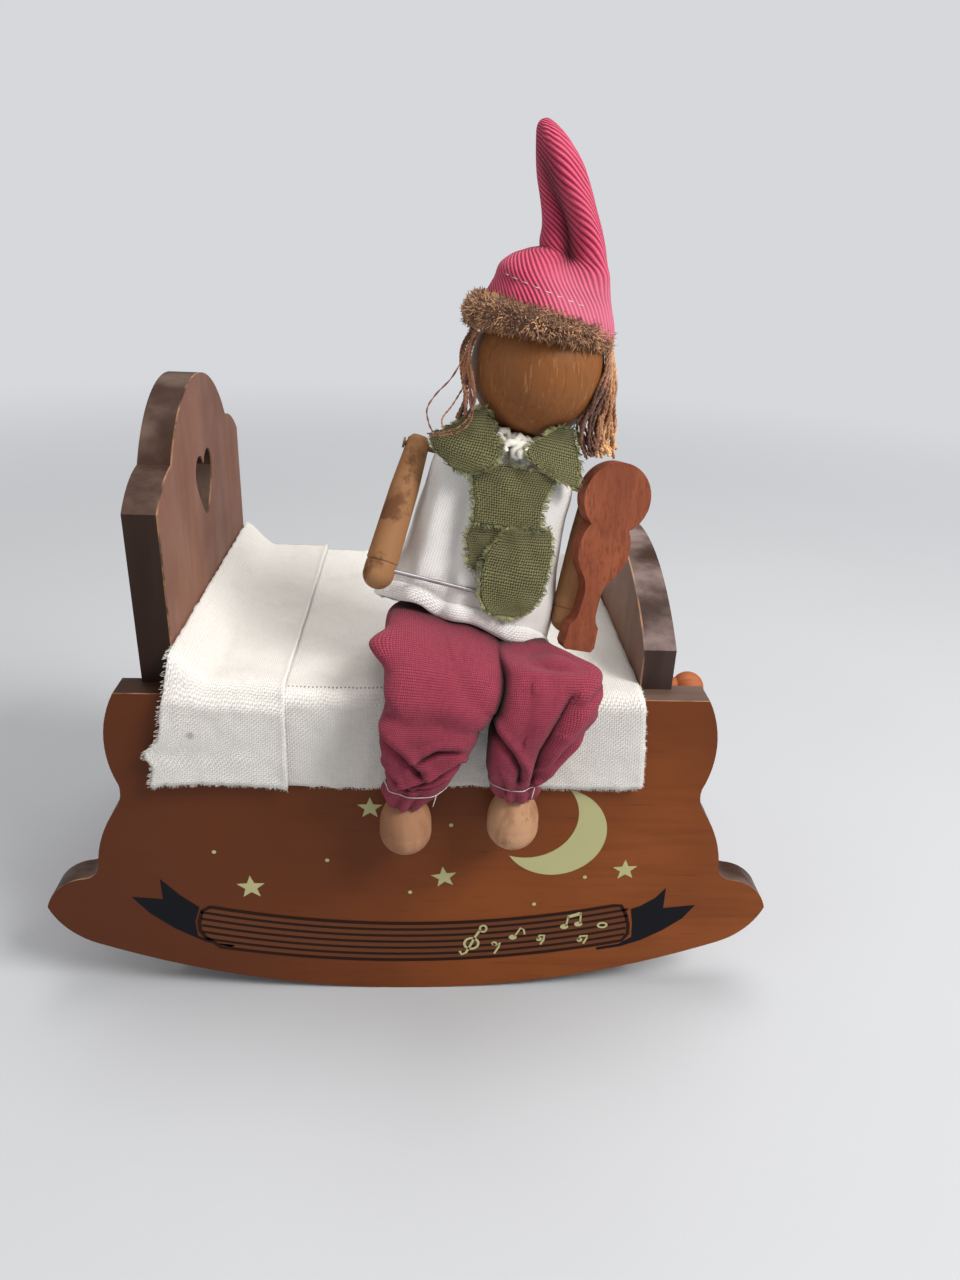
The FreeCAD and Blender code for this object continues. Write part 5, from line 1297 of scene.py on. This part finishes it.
def curls(place, count, size, seed):
    """Rows of points for curls: place(chance) gives each one's root and outward way."""
    chance = random.Random(seed)
    lines = []
    for _ in range(count):
        root, away = place(chance)
        any_way = Vector((chance.uniform(-1, 1), chance.uniform(-1, 1), chance.uniform(-1, 1)))
        side = away.cross(any_way).normalized()
        other = away.cross(side)
        wide = size * 0.42
        points = []
        for index in range(6):
            angle = index * 1.15
            swing = side * (wide * math.sin(angle)) + other * (wide * (1 - math.cos(angle)) * 0.6)
            points.append(root + away * (size * 0.17 * index) + swing)
        lines.append(points)
    return lines


def ruffle_root(chance):
    """A random place on the front or sides of the neck, and the way out from there."""
    turn = chance.uniform(-1.08, 0.08) * math.pi
    rise = chance.uniform(-2.6, 1.0)
    away = Vector((math.cos(turn), math.sin(turn), 0.4 * rise)).normalized()
    reach = 7.6 + 0.5 * max(0.0, -rise)
    root = Vector((reach * math.cos(turn), reach * math.sin(turn), 56.4 + rise)) + away * 0.7
    return doll(*root), SIDE * away.x + BACK * away.y + SPINE * away.z


def ruffle_ring(u, v):
    """A point of the puckered ring, which is thinner and closer behind the neck."""
    turn, spin = 2 * math.pi * u, 2 * math.pi * v
    behind = max(0.0, math.sin(turn))
    radius = 1.5 - 0.5 * behind + 0.3 * math.sin(turn * 17)
    reach = 7.4 - 1.4 * behind + radius * math.cos(spin)
    return doll(reach * math.cos(turn), reach * math.sin(turn), 56.2 + radius * math.sin(spin))


bm = cloth_grid(102, 12, 44.0, 7.0, ruffle_ring, True)
add_to(bm, threads(curls(ruffle_root, 40, 3.8, 17), 0.9, 2, 0.8))
new_piece("neck_yarn", bm, white_yarn, "cradle", ("neck_ruffle",))

# %% [markdown]
# The hair is twisted yarn, sewn under the cap. A strand is two plies wound round each
# other, so each ply is a tube on a helix about the strand's own line.

# %% Hair


def strand(line, radius, turns=9):
    """Two plies wound round a line of points of the doll's frame."""
    steps = 44
    plies = []
    for ply_number in range(2):
        points = []
        for index in range(steps + 1):
            share = index / steps
            middle = Vector(read_rows(line, share))
            ahead = Vector(read_rows(line, min(share + 0.02, 1.0)))
            ahead -= Vector(read_rows(line, max(share - 0.02, 0.0)))
            side = ahead.cross(Vector((0.3, 1.0, 0.2))).normalized()
            other = ahead.normalized().cross(side)
            angle = turns * 2 * math.pi * share + math.pi * ply_number
            spread = radius * (0.55 + 0.2 * step(0.85, 1.0, share))
            place = middle + side * math.cos(angle) * spread + other * math.sin(angle) * spread
            points.append(doll(*place))
        plies.append(points)
    return plies


def hair_bundle(name, inner, outer, count, radius, seed, node, finish, extra=()):
    """Strands between an inner and an outer line, each bent a little its own way."""
    chance = random.Random(seed)
    plies = []
    for _ in range(count):
        across, behind = chance.random(), chance.uniform(-1.0, 1.0)
        line = []
        for row, (near, far) in enumerate(zip(inner, outer)):
            loose = 0.3 + 0.14 * row
            x, y, z = (a + (b - a) * across for a, b in zip(near, far))
            x += chance.uniform(-loose, loose)
            line.append((x, y + 0.9 * behind + chance.uniform(-loose, loose), z))
        line[-1] = (line[-1][0], line[-1][1], line[-1][2] + chance.uniform(-1.2, 1.2))
        plies += strand(line, radius, 9 + chance.random() * 4)
    bm = threads(plies, radius * 0.62, 1)
    loops = [ply for line in extra for ply in strand(line, radius * 0.55, 5)]
    if loops:
        add_to(bm, threads(loops, radius * 0.34, 1))
    return new_piece(name, bm, finish, "head", (node,))


# Points of the strands' lines, from the cap down, in the doll's frame.
INNER = [(12.8, -4.5, 80.0), (13.4, -7.2, 76.0), (13.0, -8.6, 72.0), (11.8, -9.6, 68.0), (11.2, -9.8, 63.8),
         (12.6, -9.0, 60.0), (14.6, -7.6, 57.8)]
OUTER = [(14.8, 0.5, 80.0), (17.0, 0.0, 76.0), (18.6, -1.0, 71.6), (19.6, -1.4, 67.6), (20.8, -1.6, 63.6),
         (21.8, -2.0, 60.4), (22.6, -2.4, 58.2)]
MIDDLE = [tuple((a + b) / 2 for a, b in zip(near, far)) for near, far in zip(INNER, OUTER)]
hair_bundle("left_hair_yarn", MIDDLE, OUTER, 20, 0.4, 31, "hair_left", golden)
hair_bundle("left_hair_inner_yarn", INNER, MIDDLE, 16, 0.36, 32, "hair_left", russet)
RIGHT_INNER = [(-15.4, -6.0, 76.0), (-15.6, -7.4, 71.6), (-14.6, -8.2, 67.2), (-12.6, -9.4, 63.0),
               (-12.4, -10.4, 60.0)]
RIGHT_OUTER = [(-16.4, -2.4, 76.0), (-17.4, -3.0, 71.6), (-16.6, -4.4, 67.2), (-15.0, -6.6, 62.4),
               (-14.8, -8.6, 58.4)]
STRAY_LOOPS = [
    [(-16.0, -5.5, 74.0), (-16.9, -6.4, 70.6), (-18.4, -7.4, 65.6), (-20.8, -8.0, 61.4),
     (-21.9, -8.2, 58.0), (-20.9, -8.6, 55.2), (-19.4, -9.0, 53.4)],
    [(-15.4, -6.5, 64.0), (-16.8, -8.0, 60.0), (-18.2, -8.8, 56.8), (-17.4, -9.8, 54.8)],
    [(-13.4, -9.0, 63.0), (-12.2, -11.0, 59.4), (-13.6, -12.2, 56.2), (-17.4, -10.6, 53.6),
     (-20.0, -8.6, 52.4)],
    [(-14.0, -8.6, 64.0), (-12.8, -10.8, 60.0), (-14.4, -11.6, 56.6), (-18.0, -9.8, 53.8),
     (-20.6, -8.0, 52.6)],
]
hair_bundle("right_hair_yarn", RIGHT_INNER, RIGHT_OUTER, 12, 0.34, 37, "hair_right", russet,
            extra=STRAY_LOOPS)

# %% [markdown]
# The print on the front board takes four inks: pale gold, blue black, and a dark and a
# thin brown for the ribbon. Each figure is a flat outline, filled and lifted by a hair's
# breadth, as screen ink is.

# %% Printed figures
INK = 0.05


def ink_finish(name, colour, under, cover):
    """Ink with fine gaps where the wood shows through; more cover leaves fewer gaps."""
    ink = Finish(name, rough=0.6, Specular_IOR_Level=0.12)
    gaps = ink.between(ink.noise(900.0, 4.0, None, 0.7), cover, cover + 0.06)
    ink.relief(ink.noise(500.0), 0.02, 0.4)
    return ink.colour(ink.mix(ink.maths("MULTIPLY", gaps, 0.7), colour, under))


gold_ink = ink_finish("pale_gold_ink", tone(180, 177, 130), tone(140, 84, 46), 0.66)
blue_ink = ink_finish("blue_black_ink", tone(16, 17, 24), tone(60, 36, 26), 0.68)
brown_ink = ink_finish("dark_brown_ink", tone(42, 20, 12), tone(90, 48, 28), 0.68)
band_ink = ink_finish("thin_brown_ink", tone(100, 58, 36), tone(110, 60, 34), 0.6)


def print_figure(bm, outline, lift=0.0):
    """A filled outline of (x, z) points on the front face, as thin as ink."""
    verts = [bm.verts.new(Vector((x, FRONT - 0.02 - lift, z)) * MM) for x, z in outline]
    made = bmesh.ops.extrude_face_region(bm, geom=[bm.faces.new(verts)])["geom"]
    bmesh.ops.translate(bm, verts=[v for v in made if isinstance(v, bmesh.types.BMVert)],
                        vec=(0.0, -INK * MM, 0.0))


def print_piece(name, bm, ink):
    """Makes one object of the figures that share an ink."""
    bmesh.ops.triangulate(bm, faces=bm.faces)
    bmesh.ops.recalc_face_normals(bm, faces=bm.faces)
    piece = new_piece(name, bm, ink, "cradle")
    piece.data.shade_flat()
    return piece


def arc(x, z, radius, start, end, steps=40):
    """Points of an arc about (x, z), from a start angle to an end angle in degrees."""
    angles = [math.radians(start + (end - start) * i / steps) for i in range(steps + 1)]
    return [(x + radius * math.cos(angle), z + radius * math.sin(angle)) for angle in angles]


STARS = ((55.4, 41.2, 3.4, 4), (7.7, 38.7, 3.5, 8), (-42.4, 35.3, 3.8, 2), (-11.4, 60.4, 3.3, 0))
DOTS = ((-51.0, 46.6), (-22.5, 44.1), (-1.1, 33.7), (9.1, 55.3), (32.0, 29.7), (44.9, 38.8))
bm = bmesh.new()
outer = arc(35.8, 53.1, 13.5, -147, 76)
inner = arc(28.5, 58.2, 13.1, 38, -109)
print_figure(bm, outer[:-1] + inner[:-1])
for x, z, size, turn in STARS:
    star = []
    for index in range(10):
        radius = size if index % 2 == 0 else size * 0.42
        angle = math.radians(90 + turn + 36 * index)
        star.append((x + radius * math.cos(angle), z + radius * math.sin(angle)))
    print_figure(bm, star)
for x, z in DOTS:
    print_figure(bm, arc(x, z, 0.55, 0, 342, 11))
print_piece("printed_moon_and_stars", bm, gold_ink)

# %% [markdown]
# Below the stars runs a ribbon with the lines of a stave and forked ends. The lines
# follow one curve: a function gives its height at each place along the board.

# %% Printed ribbon


def ribbon_place(x, share):
    """The height on the board of the ribbon at x, 0 along its lower edge and 1 along its top."""
    low, top = 10.3 + 0.00192 * (x + 2.0) ** 2, 23.1 + 0.00205 * (x + 1.0) ** 2
    return low + (top - low) * share


def ribbon_line(share, start, end, steps=60):
    """Points along the ribbon at one share of its width."""
    places = [start + (end - start) * i / steps for i in range(steps + 1)]
    return [(x, ribbon_place(x, share)) for x in places]


def stroke(bm, points, thick, lift=0.0):
    """A line of even thickness through points on the front face."""
    left, right = [], []
    for index, (x, z) in enumerate(points):
        x1, z1 = points[max(index - 1, 0)]
        x2, z2 = points[min(index + 1, len(points) - 1)]
        span = math.hypot(x2 - x1, z2 - z1) or 1.0
        dx, dz = (z1 - z2) / span * thick / 2, (x2 - x1) / span * thick / 2
        left.append((x + dx, z + dz))
        right.append((x - dx, z - dz))
    for a, b in zip(range(len(points) - 1), range(1, len(points))):
        print_figure(bm, [left[a], left[b], right[b], right[a]], lift)


left_cap = [(-55.6, 27.4), (-56.6, 23.6), (-56.6, 20.8), (-55.4, 18.6), (-53.8, 17.2)]
right_cap = [(55.6, 29.2), (57.2, 26.2), (58.2, 22.6), (58.4, 19.4), (57.0, 17.0)]
ribbon_edge = ribbon_line(1.0, -53.4, 53.4) + right_cap + ribbon_line(0.0, 55.0, -51.6) + left_cap[::-1]

bm = bmesh.new()
print_figure(bm, ribbon_edge)
print_piece("printed_ribbon_band", bm, band_ink)

bm = bmesh.new()
stroke(bm, ribbon_edge + ribbon_edge[:1], 1.0, INK)
for line in range(1, 6):
    stroke(bm, ribbon_line(line / 6, -56.0, 57.6), 0.8, INK)
print_piece("printed_ribbon_lines", bm, brown_ink)

LEFT_FORK = [(-56.2, 28.6), (-60.8, 32.6), (-65.4, 37.9), (-65.3, 31.3), (-73.1, 32.0), (-69.1, 26.7),
             (-63.2, 21.6), (-55.7, 17.0), (-48.8, 14.9), (-47.8, 15.7), (-53.8, 16.6), (-57.4, 18.9),
             (-57.7, 23.6)]
RIGHT_FORK = [(58.4, 28.0), (60.8, 29.0), (64.6, 31.8), (67.1, 35.2), (67.2, 28.3), (75.8, 29.4),
              (72.9, 24.8), (67.9, 20.6), (62.2, 17.1), (56.8, 14.9), (50.4, 13.6), (50.2, 14.5),
              (56.4, 15.8), (59.6, 18.2), (59.3, 23.0)]
bm = bmesh.new()
print_figure(bm, LEFT_FORK)
print_figure(bm, RIGHT_FORK)
print_piece("printed_ribbon_ends", bm, blue_ink)

# %% [markdown]
# On the stave stand a clef, a few notes and rests, the plain signs of printed music.
# Each is a stroke or two of the same thickness, and the note heads are small ovals.

# %% Printed notes
OVER_LINES = 2 * INK


def oval_points(x, z, wide, tall, angles):
    """Points of an oval about (x, z) at a list of angles in radians."""
    return [(x + wide * math.cos(angle), z + tall * math.sin(angle)) for angle in angles]


def note_head(bm, x, z, wide=1.1, tall=0.85):
    print_figure(bm, oval_points(x, z, wide, tall, [a * math.pi / 8 for a in range(16)]), OVER_LINES)


def ring_note(bm, x, z, wide, tall, thick=0.55):
    stroke(bm, oval_points(x, z, wide, tall, [a * math.pi / 10 for a in range(21)]), thick, OVER_LINES)


RESTS = [
    [(21.6, 16.1), (22.5, 15.5), (23.5, 16.3), (23.2, 14.8), (22.1, 12.5)],
    [(33.8, 17.6), (34.2, 18.9), (35.5, 18.9), (35.4, 17.4), (34.6, 15.7)],
    [(45.0, 17.3), (45.4, 18.6), (47.3, 18.8), (47.2, 17.8), (46.4, 16.0)],
]
CLEF_STEM = [(12.6, 13.4), (13.2, 12.2), (14.3, 12.8), (15.5, 15.6), (16.8, 18.8), (17.9, 20.8)]
bm = bmesh.new()
ring_note(bm, 15.7, 16.1, 1.9, 1.9, 0.7)
ring_note(bm, 18.7, 21.3, 0.9, 1.1)
stroke(bm, CLEF_STEM, 0.7, OVER_LINES)
for rest in RESTS:
    stroke(bm, rest, 0.6, OVER_LINES)
    note_head(bm, rest[0][0] + 0.35, rest[0][1], 0.8, 0.7)
note_head(bm, 26.9, 18.3)
stroke(bm, [(27.4, 18.6), (28.9, 21.6), (29.8, 20.8), (30.1, 19.3)], 0.5, OVER_LINES)
for x, z, top in ((40.7, 22.0, (41.6, 25.5)), (44.5, 22.9, (44.9, 26.8))):
    note_head(bm, x, z)
    stroke(bm, [(x + 0.5, z + 0.2), top], 0.5, OVER_LINES)
stroke(bm, [(41.4, 25.3), (44.9, 26.6)], 1.0, OVER_LINES)
ring_note(bm, 51.1, 22.5, 1.2, 0.8)
print_piece("printed_notes", bm, gold_ink)
